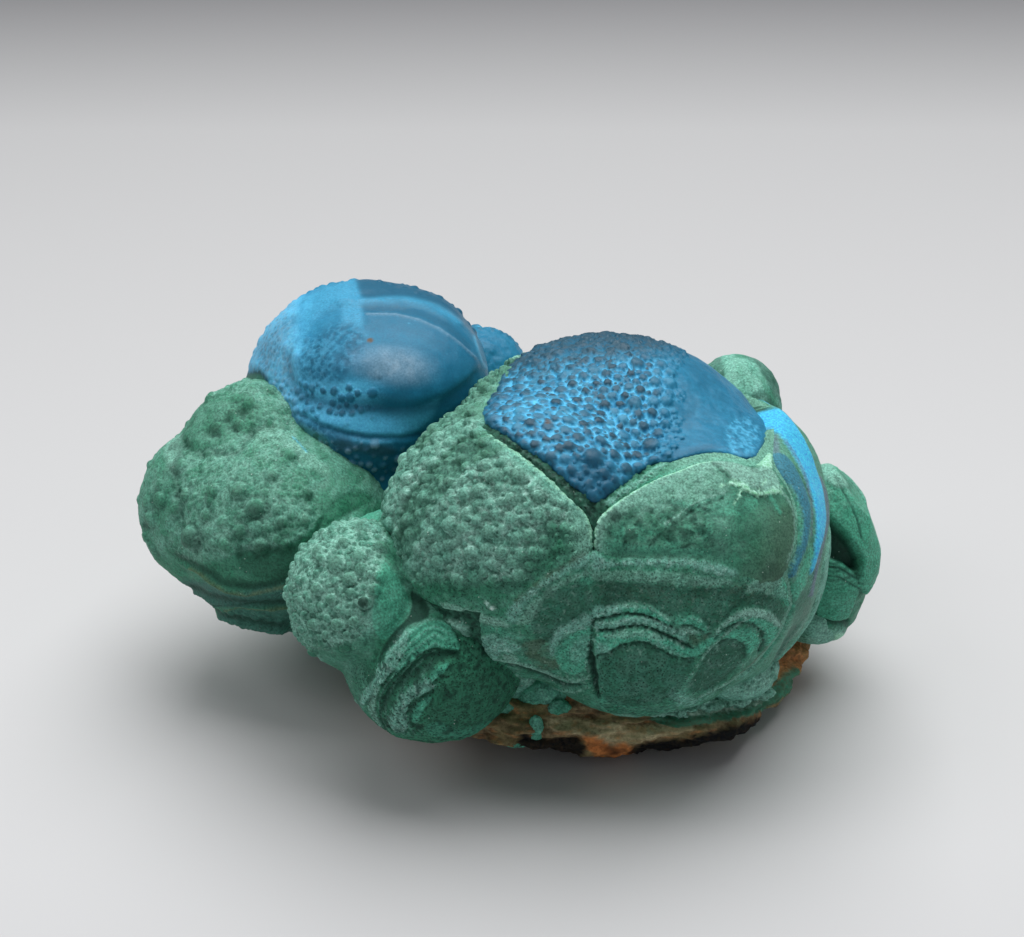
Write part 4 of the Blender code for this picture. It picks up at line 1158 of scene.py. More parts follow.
def build_left_dome(settings):
    rng = np.random.default_rng(SEED + 1)
    loop = FRONT.loop(LEFT_DOME_EDGE, LEFT_DOME_BEHIND)
    skin = Skin(FRONT, loop, levels=settings.fineness, neighbours=[LEFT, SMALL, BLUE, REAR[0], CREVICE])
    s, px, py = skin.inside, skin.px, skin.py
    low_rows, pale_rows, bottom_rows = (545, 572), (470, 540), (562, 588)
    calm_rows, calm_columns = (500, 540), (505, 560)
    low_side = smooth(*low_rows, py)
    seam_edge(skin, 0.5 - 0.42 * low_side, 0.25)
    # the raised pale rim along the seam; its thin mint line along the crest is a painted highlight
    margin, ends = skin.across(FRONT.line(LEFT_DOME_MARGIN))
    gap = np.abs(margin)
    skin.relief += 0.15 * hump(gap - 0.4, 0.35) * ends * (s > 0)
    skin.mark("mint", smooth(0.36, 0.12, gap) * (s > -0.3) * smooth(0.25, 0.5, ends) * 0.75)
    skin.mark("pale", smooth(5.0, 0.8, gap) * 0.55 * smooth(*pale_rows, py) * (s > 0))
    step, ends = skin.across(FRONT.line(MOSSY_STEP))
    # the mossy part is on this point's side of the step; away from the step it is told by the pixels alone
    (mossy_x, mossy_y), mossy_row, mossy_sum = MOSSY_POINT, 450, 905
    marker = np.argmin(np.hypot(px - mossy_x, py - mossy_y) + 100 * (skin.points[:, 1] > 0))
    step = step * np.sign(step[marker])
    away = (py < mossy_row) & (px + py < mossy_sum)
    mossy = np.where(np.abs(step) < 5.99, smooth(-0.2, 0.2, step), away)
    mossy = np.where(py < mossy_y, 1.0, mossy) * (s > -2)
    skin.relief += -0.35 * mossy * np.exp(-np.abs(step) / 1.8) * ends
    skin.mark("moss", mossy * (0.4 + 0.4 * smooth(-0.3, 0.4, skin.cloud(3.0, 3, 8.0))))
    skin.mark("frost", mossy * smooth(0.1, 0.6, skin.grit) * 0.5)
    # the right and the bottom are smooth, and the rest is bumpy
    calm = smooth(*calm_columns, px + 0.4 * (py - 540)) * smooth(*calm_rows, py)
    calm = np.maximum(calm, smooth(*bottom_rows, py))
    bumpy = (1 - 0.9 * mossy) * (1 - 0.97 * calm) * smooth(0.4, 1.6, s) * smooth(0.5, 3.0, gap)
    skin.relief += 0.35 * skin.cloud(5.0, 3, 3.0) + 0.04 * skin.wobble + 0.03 * skin.grit
    malachite_bumps(skin, rng, bumpy, ((1.25, 60), (0.95, 170), (0.68, 260), (0.46, 200)), DOME_KNOBS,
                    rise=0.8, frost=1.0, dark=0.7, pebbled=0.3)
    # low soft bumps on the mossy part
    soft, top, _ = skin.bump_field(rng, mossy * smooth(0.5, 2, s), [(1.3, 30), (0.9, 60), (0.5, 90)],
                                   rise=0.25)
    skin.relief += soft - 0.15 * top * mossy
    skin.mark("shade", top * mossy * 0.3)
    skin.mark("pitted", np.maximum(calm * 0.75, mossy * 0.4))
    skin.mark("smooth_green", calm * (0.65 + 0.3 * smooth(-0.3, 0.3, skin.cloud(2.0, 3, 9.0))))
    skin.paint(LEDGE_PATCHES, LEFT_DOME_STROKES)
    skin.mark("shade", smooth(0.1, -0.5, s) * 0.9 * (1 - low_side))
    return skin.finish("left_dome", malachite(settings))


def build_right_dome(settings):
    rng = np.random.default_rng(SEED + 2)
    loop = FRONT.loop(RIGHT_DOME_EDGE)
    skin = Skin(FRONT, loop, levels=settings.fineness)
    s, px, py = skin.inside, skin.px, skin.py
    low_rows, pale_rows, green_rows, pitted_rows = (548, 564), (520, 500), (505, 530), (500, 540)
    bumpy_rows, dark_from, dark_to, crease_row = (550, 540), (504, 520), (556, 546), 553
    calm_columns, other_columns, crease_from, crease_to = (700, 740), (745, 700), (598, 620), (760, 740)
    brown_columns, brown_rows = (735, 790), (488, 515)
    low_side = smooth(*low_rows, py)
    seam_edge(skin, 0.5 - 0.42 * low_side, 0.25)
    mottle = skin.cloud(1.6, 3, 2.0)
    # the raised pale rim along the seam; its thin mint line along the crest is a painted highlight
    margin, ends = skin.across(FRONT.line(RIGHT_DOME_MARGIN))
    gap = np.abs(margin)
    skin.relief += 0.15 * hump(gap - 0.4, 0.35) * (s > 0)
    skin.mark("mint", smooth(0.38, 0.12, gap) * (s > -0.3))
    skin.mark("pale", smooth(3.0, 0.5, gap) * (0.5 + 0.3 * smooth(-0.3, 0.3, mottle)) * (s > 0))
    skin.mark("pale", smooth(*pale_rows, py) * smooth(*other_columns, px)
              * (0.1 + 0.2 * smooth(-0.2, 0.4, skin.wobble)))
    skin.mark("moss", smooth(*other_columns, px) * (0.35 + 0.25 * smooth(-0.3, 0.3, skin.wobble)))
    calm = smooth(*calm_columns, px)
    skin.mark("smooth_green", np.maximum(calm * 0.8, 0.45 * smooth(*green_rows, py)))
    skin.mark("gloss", 0.3 + calm * 0.4)
    skin.relief += 0.25 * skin.cloud(6.0, 2, 3.0) + (0.05 * mottle + 0.03 * skin.grit) * (1 - 0.6 * calm)
    bumpy = (1 - calm) * smooth(0.8, 2.0, s) * smooth(*bumpy_rows, py)
    lift, top, tone = skin.bump_field(rng, bumpy, [(1.1, 8), (0.8, 18), (0.55, 26)], DARK_SPOTS, rise=0.25)
    skin.relief += lift
    # dark blotches, most of them on the lower part
    blotch = skin.cloud(1.15, 3, 45.0)
    lower = smooth(*dark_from, py + 0.1 * (px - 600)) * smooth(*dark_to, py) * (1 - calm)
    skin.mark("shade", smooth(0.25, 0.75, top * (0.3 + 0.5 * tone) + 1.1 * blotch) * (0.15 + 0.55 * lower)
              * (1 - calm))
    skin.mark("shade", lower * (0.1 + 0.15 * smooth(-0.2, 0.4, mottle)))
    skin.relief -= 0.12 * smooth(0.2, 0.6, blotch) * lower
    skin.mark("smooth_green", smooth(-0.2, 0.5, mottle) * (1 - calm) * 0.6)
    skin.mark("bright", smooth(0.1, 0.6, skin.cloud(2.4, 3, 19.0)) * (1 - calm)
              * smooth(*green_rows, py) * 0.45)
    crease = hump(py - crease_row - 3 * mottle, 4.0)
    skin.mark("shade", crease * smooth(*crease_from, px) * smooth(*crease_to, px) * 0.5)
    skin.mark("shade", calm * (0.1 + 0.4 * smooth(0.0, 0.6, skin.cloud(3.0, 3, 4.0))))
    skin.mark("brown", smooth(*brown_columns, px + 0.3 * (py - 530) + 6 * mottle)
              * smooth(*brown_rows, py) * 0.5)
    skin.mark("pitted", smooth(*pitted_rows, py) * (1 - 0.8 * calm) * 0.5)
    skin.paint(RIGHT_DOME_PATCHES + LEDGE_PATCHES, RIGHT_DOME_STROKES)
    skin.mark("shade", smooth(0.1, -0.5, s) * 0.9 * (1 - low_side))
    return skin.finish("right_dome", malachite(settings))


def build_foot(settings):
    loop = FRONT.loop(FOOT_EDGE, FOOT_BELOW)
    skin = Skin(FRONT, loop, levels=settings.fineness, neighbours=[SMALL])
    s, px, py = skin.inside, skin.px, skin.py
    seam_rows, seam_columns, face_columns, bay_columns = (600, 575), (760, 730), (595, 602), (595, 610)
    face_from, face_to, bay_row = (578, 588), (612, 600), 594
    scoop_rows, scoop_columns = (653, 662), (694, 664)
    crack_rows, dark_rows, deep_rows = (596, 612), (600, 615), (640, 660)
    wide_from, wide_to = (640, 664), (700, 680)
    seam_edge(skin, 0.4 - 0.3 * smooth(*seam_rows, py) * smooth(*seam_columns, px), 0.3)
    skin.relief += 0.25 * skin.cloud(5.0, 2, 6.0) + 0.05 * skin.wobble + 0.02 * skin.grit
    skin.mark("smooth_green", 0.6 + 0.3 * smooth(-0.4, 0.4, skin.cloud(2.2, 3, 9.0)))
    skin.mark("shade", smooth(0.0, 0.5, skin.cloud(0.9, 3, 14.0)) * 0.4)
    skin.mark("bright", smooth(0.1, 0.6, skin.cloud(1.8, 3, 27.0)) * 0.35)
    # faint stripes on the face under the ledge
    face = smooth(*face_from, py) * smooth(*face_to, py) * smooth(*face_columns, px)
    stripes = np.sin((py - 0.06 * (px - 640) - 6 * skin.cloud(6.0, 2, 1.0)) * 1.9)
    skin.relief += 0.05 * stripes * face
    skin.mark("brown", smooth(0.1, 0.8, stripes) * face * 0.4)
    skin.relief -= 0.35 * hump(py - bay_row, 12.0) * smooth(*bay_columns, px)
    skin.paint(LEDGE_PATCHES + FOOT_PATCHES, FOOT_STROKES)
    # the pitted scoop at the right of the crack, near the bottom
    scoop = smooth(*scoop_rows, py) * smooth(*scoop_columns, px) * smooth(*face_columns, px)
    skin.mark("pitted", np.maximum(scoop, 0.7))
    skin.mark("chalk", smooth(0.35, 0.7, skin.grit) * (1 - scoop) * 0.18)
    skin.mark("shade", smooth(0.0, 0.4, skin.cloud(0.7, 2, 71.0)) * scoop * 0.7)
    skin.relief -= 0.12 * smooth(0.0, 0.4, skin.cloud(0.7, 2, 71.0)) * scoop
    skin.mark("bright", scoop * smooth(-0.1, 0.6, skin.cloud(1.4, 3, 17.0)) * 0.5)
    # the crack, which gapes near the bottom
    crack, ends = skin.across(FRONT.line(CRACK))
    crack = crack + 0.25 * skin.wobble
    width = 0.08 + 0.4 * smooth(*wide_from, py) * smooth(*wide_to, py)
    skin.relief -= (0.25 + 0.9 * smooth(*deep_rows, py)) * hump(crack, width + 0.1) * smooth(*crack_rows, py)
    skin.mark("shade", smooth(1.8, 0.7, np.abs(crack) / width) * smooth(*dark_rows, py))
    return skin.finish("terraced_foot", malachite(settings))


def swell_behind_cap(skin):
    """The ribboned roll stands proud of the form where it runs up behind the cap's right edge."""
    centre = FRONT.ways_to(FRONT.at([(105, 28)]))[0]
    away = np.degrees(np.arccos(np.clip(skin.ways @ centre, -1, 1)))
    skin.relief += 3.0 * hump(away, 22.0)
    skin.find_pixels()


def build_flank(settings):
    loop = FRONT.loop(FLANK_EDGE, FLANK_BEHIND)
    skin = Skin(FRONT, loop, levels=settings.fineness, neighbours=[SHELL])
    swell_behind_cap(skin)
    seam_edge(skin, 0.35, 0.4)
    fleck = skin.cloud(1.2, 3, 2.0)
    skin.relief += 0.12 * skin.cloud(3.0, 3, 2.0) + 0.02 * fleck
    skin.mark("smooth_green", 0.5 + 0.3 * smooth(-0.4, 0.4, fleck))
    skin.mark("gloss", 0.6)
    skin.paint(FLANK_PATCHES, FLANK_STROKES, ragged=0.3)
    skin.mark("pale", smooth(0.1, 0.6, fleck) * 0.25)
    skin.mark("shade", smooth(0.0, -0.5, skin.inside) * 0.6)
    return skin.finish("ribboned_flank", malachite(settings))


def build_back(settings):
    """The crumbly floor of the seams between the front domes, at full height on the rear side."""
    rng = np.random.default_rng(SEED + 4)
    loops = [FRONT.loop(*edge) for edge in (
        (CAP_SEAM, CAP_SEAM_BEHIND), (LEFT_DOME_EDGE, LEFT_DOME_BEHIND), (RIGHT_DOME_EDGE, ()),
        (FOOT_EDGE, FOOT_BELOW), (FLANK_EDGE, FLANK_BEHIND))]
    skin = Skin(FRONT, levels=settings.fineness, neighbours=[LEFT, SMALL, BLUE, CREVICE, *REAR[:2]],
                under=loops)
    swell_behind_cap(skin)
    crumbly_columns, low_columns = (672, 640), (740, 700)
    dark_columns, pale_columns = (612, 600), (655, 690)
    cover = np.max([inside_loop(FRONT, skin.points, skin.ways, loop) for loop in loops], axis=0)
    bare = smooth(-1.6, -2.6, cover)
    crumbly = (1 - bare) * smooth(*crumbly_columns, skin.px)
    ridge = 1 - np.abs(skin.cloud(1.4, 2, 6.0)) * 3
    skin.relief += np.where(cover > 0.6, -2.4, -0.55 * (1 - bare))
    skin.relief += (0.25 * skin.wobble + 0.06 * skin.grit + 0.25 * np.maximum(ridge, 0)) * crumbly
    skin.relief += 0.3 * skin.cloud(6.0, 3, 5.0) * bare
    low = smooth(-0.35, -0.1, skin.ways[:, 2]) * smooth(*low_columns, skin.px)
    malachite_bumps(skin, rng, bare * low, ((1.4, 40), (1.0, 120), (0.7, 260)), dark=0.7)
    skin.mark("shade", crumbly * (0.6 + 0.4 * smooth(0.3, -0.3, skin.wobble))
              * smooth(*dark_columns, skin.px))
    skin.mark("smooth_green", (1 - bare) * 0.8)
    skin.mark("pale", (1 - bare) * smooth(*pale_columns, skin.px) * 0.45)
    skin.paint(RIM_PATCHES, RIM_STROKES)
    return skin.finish("seam_floor", malachite(settings))


def build_left_lobe(settings):
    rng = np.random.default_rng(SEED + 5)
    skin = Skin(LEFT, base=6, levels=2, neighbours=[FRONT, BLUE, REAR[2], CREVICE])
    px, py = skin.px, skin.py
    bumpy_rows, under_rows, lower_rows = (572, 548), (600, 615), (545, 570)
    strip_columns, bumpy_columns = (186, 172), (330, 290)
    lower = smooth(-0.12, -0.3, skin.ways[:, 2] + 0.12 * (skin.ways[:, 0] < 0) * skin.ways[:, 0])
    skin.relief += 0.35 * skin.cloud(6.0, 3, 4.0) + 0.08 * skin.wobble
    # creases
    for line, depth, width in ((SHOULDER_CREASE, 0.3, 1.3), (STRIP_CREASE, 0.4, 1.5)):
        away, ends = skin.across(LEFT.line(line))
        skin.relief -= depth * hump(away, width) * ends
        skin.mark("shade", hump(away, 0.8) * ends * 0.4)
    # ledges low on the lobe
    for line in LEFT_TERRACES:
        below, ends = skin.beyond(LEFT.line(line), (260, 640))
        skin.relief += 1.0 * np.where(below < 0, np.exp(below / 2.2), np.exp(-below / 0.6)) * ends
        skin.mark("shade", hump(below - 1.3, 0.8) * ends * 0.7)
    strip = smooth(*strip_columns, px + 0.1 * (py - 480)) * (skin.points[:, 1] < 8)
    # the smooth shoulder and the margin at the seam are two of the lobe's painted areas
    shoulder = skin.patch(LEFT_PATCHES[1][3])
    margin = skin.patch(LEFT_PATCHES[3][3], 6.0)
    bumpy = (1 - lower) * (1 - 0.7 * strip) * smooth(*bumpy_rows, py + 0.18 * (px - 200))
    bumpy = bumpy * (1 - 0.75 * shoulder)
    bumpy = bumpy * (1 - margin) * smooth(*bumpy_columns, px - 0.3 * (py - 480))
    bumpy = bumpy + 0.25 * (skin.points[:, 1] > 12)
    malachite_bumps(skin, rng, np.clip(bumpy, 0, 1), ((1.2, 14), (0.9, 46), (0.64, 100), (0.45, 80)),
                    LEFT_KNOBS, frost=0.12, dark=0.7, pebbled=0.3)
    # the two largest bumps stand prouder than the rest
    skin.relief += skin.bump_field(rng, bumpy, (), LEFT_KNOBS[:2], rise=0.35, flat=1.2)[0]
    skin.mark("smooth_green", 0.15 + smooth(-0.2, 0.5, skin.cloud(3.5, 3, 22.0)) * 0.5)
    skin.mark("moss", 0.25 + 0.25 * smooth(-0.3, 0.3, skin.cloud(2.0, 3, 52.0)))
    skin.relief += skin.bump_field(rng, smooth(*under_rows, py) * lower, [(0.9, 60), (0.6, 150)], rise=0.4)[0]
    # dimples between the bumps
    for x, y, size in LEFT_DIMPLES:
        near = np.hypot(px - x, py - y) / size + 0.3 * skin.wobble
        skin.relief -= 0.4 * hump(near, 1.0) * (skin.points[:, 1] < 15)
        skin.mark("shade", smooth(1.1, 0.2, near) * 0.5 * (skin.points[:, 1] < 15))
    # the first few bumps are darker
    for x, y, size in LEFT_KNOBS[:6]:
        near = np.hypot(px - x - 1, py - y - 2) / size
        skin.mark("shade", smooth(1.15, 0.5, near) * 0.45)
    skin.mark("smooth_green", np.maximum(lower, smooth(*lower_rows, py)) * 0.8)
    skin.mark("pitted", 0.25)
    skin.paint(LEFT_PATCHES, LEFT_STROKES, soft=3.0)
    return skin.finish("left_lobe", malachite(settings))


def build_blue_lobe(settings):
    rng = np.random.default_rng(SEED + 6)
    skin = Skin(BLUE, base=6, levels=2, neighbours=[FRONT, LEFT, REAR[2], REAR[0]])
    front = smooth(0.4, 0.1, skin.ways @ FORWARD)
    skin.relief += 0.2 * skin.cloud(6.0, 3, 4.0)
    # the top and the right shoulder stand a little higher than the form
    right, up = skin.ways[:, 0], skin.ways[:, 2]
    skin.relief += 1.1 * smooth(0.35, 0.8, up) + 1.2 * smooth(0.2, 0.7, right) * smooth(0, 0.4, up)
    skin.find_pixels()
    px, py = skin.px, skin.py
    smooth_from, smoothest_from, glossy_columns, deep_columns = (292, 322), (348, 380), (320, 370), (366, 400)
    rows_from, rows_to, row_columns = (376, 386), (428, 416), (392, 350)
    fringe_rows, fringe_columns, left_columns = (335, 345), (350, 315), (300, 270)
    pebbled_columns, ringed_columns, mauve_columns = (310, 280), (312, 290), (306, 280)
    ring_from, ring_to, ring_rows = (338, 346), (368, 358), (345, 320)
    sheen_x, sheen_y = BLUE_SHEEN
    # the dome swells above its foot line and sinks below it
    inside, ends = skin.beyond(BLUE.line(DOME_FOOT), (390, 365), 9.0)
    skin.relief += 0.6 * np.tanh(inside / 0.9) * np.exp(-np.abs(inside) / 3.2) * ends
    # painted shade in the crease just below the dome's foot line
    skin.mark("deep", hump(inside + 1.1, 1.1) * ends * 0.7)
    lean = px + 10 * skin.cloud(4.0, 3, 33.0)
    calm = 0.75 * smooth(*smooth_from, lean) + 0.2 * smooth(*smoothest_from, lean)
    skin.mark("smooth_blue", calm * front)
    skin.mark("gloss", smooth(*glossy_columns, px) * 0.9)
    skin.mark("smooth_blue", (1 - front) * (0.6 + 0.3 * skin.cloud(4.0, 3, 51.0)))
    # bumps: rows under the dome, a fringe at its left, the left side and the shelf
    rows = smooth(*row_columns, px) * smooth(*rows_from, py) * smooth(*rows_to, py) * front
    fringe = smooth(*fringe_columns, px) * smooth(*fringe_rows, py) * 0.8 * front
    left = smooth(*left_columns, px) * 0.35 * front
    slate = skin.patch(BLUE_SHELF, 5.0)
    bumpy = np.clip(np.maximum.reduce([rows, fringe, left, slate]), 0, 1) * (skin.points[:, 1] < 25)
    rear = smooth(20, 28, skin.points[:, 1])
    lift, top, tone = skin.bump_field(rng, np.maximum(bumpy, rear * 0.5),
                                      [(1.1, 16), (0.8, 90), (0.58, 240), (0.42, 160)], BLUE_KNOBS,
                                      rise=0.5, flat=1.3)
    skin.relief += lift * (0.35 + 0.65 * np.maximum.reduce([rows, rear, slate]))
    skin.mark("crown", smooth(0.2, 0.7, top) * (0.2 + 0.25 * tone) * np.maximum(rows, 0.5))
    skin.mark("mauve", smooth(0.3, 0.8, top) * tone * slate * 0.7)
    skin.mark("pebbled", np.maximum(smooth(*pebbled_columns, px) * 0.45, fringe * 0.4) * front)
    skin.mark("ring", rows * (1 - smooth(0.1, 0.4, top)) * 0.8)
    mottle = smooth(-0.3, 0.3, skin.cloud(2.0, 3, 18.0))
    skin.mark("ring", smooth(*ringed_columns, px) * (0.6 + 0.4 * mottle) * front)
    skin.mark("mauve", smooth(*mauve_columns, px) * (0.25 + 0.35 * smooth(-0.2, 0.4, skin.wobble)) * front)
    skin.mark("ring", smooth(*ring_from, px) * smooth(*ring_to, px) * smooth(*ring_rows, py) * 0.3 * front)
    # a net of pale threads on deep blue
    net = skin.patch(BLUE_NET, 6.0)
    skin.relief += 0.08 * skin.wobble * net
    skin.mark("ring", net * smooth(0.0, 0.4, skin.wobble) * 0.3)
    skin.mark("deep", net * (0.35 + 0.4 * smooth(0.1, -0.4, skin.wobble)))
    # a painted highlight: the pale sheen at the middle of the dome
    sheen_reach = np.hypot((px - sheen_x - 0.4 * (py - sheen_y)) / 50, (py - sheen_y) / 24)
    mottle = smooth(-0.3, 0.5, skin.cloud(1.5, 3, 28.0))
    skin.mark("mauve", smooth(1.15, 0.1, sheen_reach) * (0.72 + 0.28 * mottle) * front)
    specks = smooth(0.35, 0.8, skin.wobble) * smooth(0.3, 0.9, skin.cloud(3.0, 2, 38.0))
    skin.mark("ring", specks * front * 0.7)
    skin.mark("deep", smooth(*deep_columns, px) * smooth(-0.2, 0.5, skin.cloud(5.0, 2, 48.0)) * front * 0.3)
    skin.paint(BLUE_PATCHES, BLUE_STROKES, soft=4.0)
    # past the blue skin's seam the lobe is green
    seam = inside_loop(BLUE, skin.points, skin.ways, BLUE.loop(BLUE_SEAM, BLUE_SEAM_BEHIND))
    green = smooth(0.4, -0.4, seam + 0.4 * skin.wobble)
    skin.mark("moss", green)
    skin.mark("shade", hump(seam, 0.5) * 0.7 * (py < 440))
    for mark in ("ring", "smooth_blue", "crown", "deep", "mauve", "pebbled"):
        skin.marks[mark] = skin.marks[mark] * (1 - green)
    # behind, the green skin is as pale and bumpy as that of the lobes around it
    skin.mark("pale", green * rear * (0.4 + 0.2 * skin.wobble) * (1 - 0.4 * smooth(0.3, 0.8, top)))
    skin.mark("shade", green * rear * smooth(0.2, 0.0, top) * 0.3)
    fleck = BLUE.under([BLUE_FLECK])[0]
    skin.mark("brown", smooth(0.7, 0.3, np.linalg.norm(skin.points - fleck, axis=1)))
    return skin.finish("blue_lobe", chrysocolla(settings))


def build_small_lobe(settings):
    rng = np.random.default_rng(SEED + 7)
    skin = Skin(SMALL, base=6, levels=2, neighbours=[FRONT])
    px, py = skin.px, skin.py
    bumpy_rows, calm_rows, broken_rows, rayed_rows = (655, 635), (625, 650), (640, 660), (720, 690)
    bumpy_columns, calm_columns, rayed_columns = (385, 362), (365, 385), (455, 480)
    knob_x, knob_y = SMALL_KNOB
    skin.relief += 0.25 * skin.cloud(5.0, 3, 4.0) + 0.08 * skin.wobble
    # the crease between the lobe's two halves
    neck, ends = skin.across(SMALL.line(NECK))
    skin.relief -= 0.6 * hump(neck, 1.0) * ends
    bumpy = smooth(*bumpy_columns, px + 0.25 * (py - 590)) * smooth(*bumpy_rows, py + 0.2 * (px - 330))
    bumpy = np.where(skin.points[:, 1] > -20, 0.5, bumpy)
    malachite_bumps(skin, rng, bumpy, ((1.1, 24), (0.85, 70), (0.62, 120), (0.44, 90)), SMALL_KNOBS,
                    rise=0.85, frost=0.55, dark=0.8)
    skin.mark("smooth_green", smooth(0.1, 0.6, bumpy) * 0.25)
    calm = smooth(*calm_columns, px) + smooth(*calm_rows, py)
    skin.mark("smooth_green", calm * (0.55 + 0.3 * smooth(-0.4, 0.4, skin.cloud(2.5, 3, 9.0))))
    # fine bands beyond the terrace's edge
    beyond, ends = skin.beyond(SMALL.line(SMALL_TERRACE), (450, 700), 11.0)
    banded = smooth(-0.5, 0.5, beyond) * smooth(10.0, 7.0, beyond) * ends
    lines = np.sin(beyond * 5.2 + 1.6 * skin.cloud(4.0, 2, 1.0))
    skin.relief += 0.07 * lines * banded
    skin.mark("frost", smooth(0.3, 0.9, lines) * banded * 0.45)
    skin.mark("shade", smooth(0.3, 0.9, -lines) * banded * 0.4)
    skin.paint(SMALL_PATCHES, SMALL_STROKES)
    # the bottom is broken and pitted
    broken = calm * smooth(*broken_rows, py + 0.3 * (px - 400))
    skin.mark("pitted", broken * 0.8)
    skin.mark("shade", broken * smooth(0.0, 0.6, skin.cloud(2.0, 3, 61.0)) * 0.45)
    specks = smooth(0.0, 0.4, skin.cloud(0.7, 2, 72.0)) * broken
    skin.mark("shade", specks * 0.35)
    skin.relief -= 0.06 * specks
    # one dark knob, with a pale ring on the upper half of its rim that is a painted highlight
    knob = np.hypot(px - knob_x, py - knob_y)
    skin.mark("shade", smooth(7.0, 4.5, knob) * 0.9)
    skin.mark("pale", hump(knob - 8.0, 1.4) * (py < 600) * 0.8)
    # fine dark rays at the right end
    rays = np.sin(np.arctan2(py - 640, px - 470) * 34 + 2 * skin.wobble)
    skin.mark("shade", smooth(0.2, 0.9, rays) * smooth(*rayed_columns, px) * smooth(*rayed_rows, py) * 0.4)
    return skin.finish("small_lobe", malachite(settings))


def build_lump(form, name, settings, seed, blue=0.0, fringe=0, neighbours=(), levels=1, base=5,
               sizes=(), where=None, material=None, tint=None, rough=0.0, patches=()):
    """A plain lump: cloudy relief, then ledges all round (fringe), bumps (sizes) and a tint if given."""
    rng = np.random.default_rng(SEED + seed)
    skin = Skin(form, base=base, levels=levels, neighbours=neighbours)
    skin.relief += 0.35 * skin.cloud(5.0, 3, seed * 1.0) + rough * skin.cloud(1.3, 3, seed * 2.0)
    for turn in range(fringe):
        height = -4 - 22 * turn
        angles = [(angle, height + 5 * (angle // 45 % 2)) for angle in range(0, 360, 45)]
        ring = form.line((), angles, closed=True)
        away, _ = skin.across(ring)
        below = np.where(skin.ways[:, 2] < math.sin(math.radians(height)), np.abs(away), -np.abs(away))
        skin.relief += 0.9 * np.where(below < 0, np.exp(below / 1.8), np.exp(-below / 0.45))
        skin.mark("pale", hump(below + 0.5, 0.7) * 0.6)
        skin.mark("shade", hump(below - 1.0, 0.6) * 0.6)
    area = smooth(-0.15, 0.1, skin.ways[:, 2]) if where is None else where(skin)
    if len(sizes):
        malachite_bumps(skin, rng, area, sizes, frost=0.4, dark=0.6)
    if tint:
        mark, strength = tint
        skin.mark(mark, strength * (0.6 + 0.4 * smooth(-0.3, 0.4, skin.cloud(2.5, 3, 8.0))))
        skin.mark("smooth_green", 0.7 * smooth(-0.1, 0.5, skin.cloud(4.0, 2, 14.0)))
    skin.paint(patches, soft=3.0)
    if blue:
        skin.mark("smooth_blue", blue)
        skin.mark("gloss", 0.8)
    return skin.finish(name, material or malachite(settings))


def build_shell(settings):
    """The broken shell at the far right, a smooth roll under a ragged upper lip."""
    skin = Skin(SHELL, base=6, levels=1, neighbours=[FRONT])
    fluting = skin.cloud(3.0, 2, 6.0)
    skin.relief += 0.4 * skin.cloud(6.0, 2, 3.0) + 0.15 * fluting
    # flat broken faces
    for outward, reach in (((0.8, 0.0, 0.6), 10.2), ((0.95, 0.0, 0.31), 8.2), ((0.96, 0.0, -0.28), 7.6),
                           ((0.71, 0.0, -0.7), 10.0)):
        facing = skin.ways @ np.array(outward)
        spare = reach / np.maximum(facing, 0.3) - np.linalg.norm(skin.points - SHELL.origin, axis=1)
        skin.relief = np.where(facing > 0.3, np.minimum(skin.relief, spare + 0.1 * fluting), skin.relief)
    skin.find_pixels()
    # thin bands on the roll
    roll = skin.patch(SHELL_ROLL, 3.0)
    middle, lip_rows, pale_rows = 832, (592, 574), (540, 480)
    bands = np.sin((skin.py + 0.25 * np.abs(skin.px - middle)) * 0.8 + 0.8 * fluting)
    skin.relief += 0.04 * bands * roll
    skin.mark("shade", smooth(0.2, 0.9, -bands) * roll * (0.12 + 0.4 * smooth(*lip_rows, skin.py)))
    skin.mark("smooth_green", 0.65 + 0.3 * smooth(-0.4, 0.4, fluting))
    skin.mark("bright", smooth(0.0, 0.6, skin.cloud(3.5, 3, 13.0)) * 0.5)
    skin.mark("pale", smooth(-0.2, 0.4, skin.cloud(1.2, 3, 33.0)) * smooth(*pale_rows, skin.py) * 0.4)
    skin.mark("gloss", 0.5)
    skin.paint(SHELL_PATCHES, SHELL_STROKES, soft=1.6, ragged=0.5)
    return skin.finish("broken_shell", malachite(settings))


def build_rock(settings):
    """The host rock: a rough dark underside with an olive, rusty and near-black broken rim under the front.
    """
    centre, radii = HOST.origin, np.array(HOST.centres[0][1], float)
    skin = Skin(HOST, base=7, levels=0)
    ways = skin.ways
    rough = np.array([noise.fractal(Vector(way * 1.7), 0.7, 2.1, 4) for way in ways])
    places = centre + ways * radii + ways * (rough * 3.5)[:, None]
    below = np.clip((centre[2] - places[:, 2]) / centre[2], 0, 1)
    places[:, :2] = centre[:2] + (places[:, :2] - centre[:2]) * (1 - 0.12 * below)[:, None]
    crumb = np.array([noise.fractal(Vector(place * 0.22), 0.75, 2.1, 5) for place in places])
    grit = np.array([noise.fractal(Vector(place * 0.9), 0.6, 2.0, 3) for place in places])
    ridge = 1 - np.abs(crumb) * 2
    places += ways * (0.9 * crumb + 0.35 * ridge + 0.22 * grit)[:, None]
    skin.points = places
    skin.find_pixels()
    skin.mark("olive", smooth(-0.1, 0.4, crumb) * 0.5)
    skin.mark("rust", smooth(0.25, 0.55, grit) * 0.3)
    # near black towards the bottom edge and on the rear
    blackest_rows = (735, 752)
    skin.mark("soot", smooth(*blackest_rows, skin.py) * smooth(0.3, -0.2, crumb) * 0.9)
    skin.mark("soot", (skin.ways[:, 1] > 0.1) * smooth(-0.2, 0.4, crumb) * 0.6)
    skin.paint(ROCK_PATCHES, soft=2.0, ragged=3.0)
    return skin.finish("host_rock", limonite(settings), "limonite_matrix", low=0.0)


# stage, in metres

LIT_POINT = (0, 0, 0.03)        # both lights face this


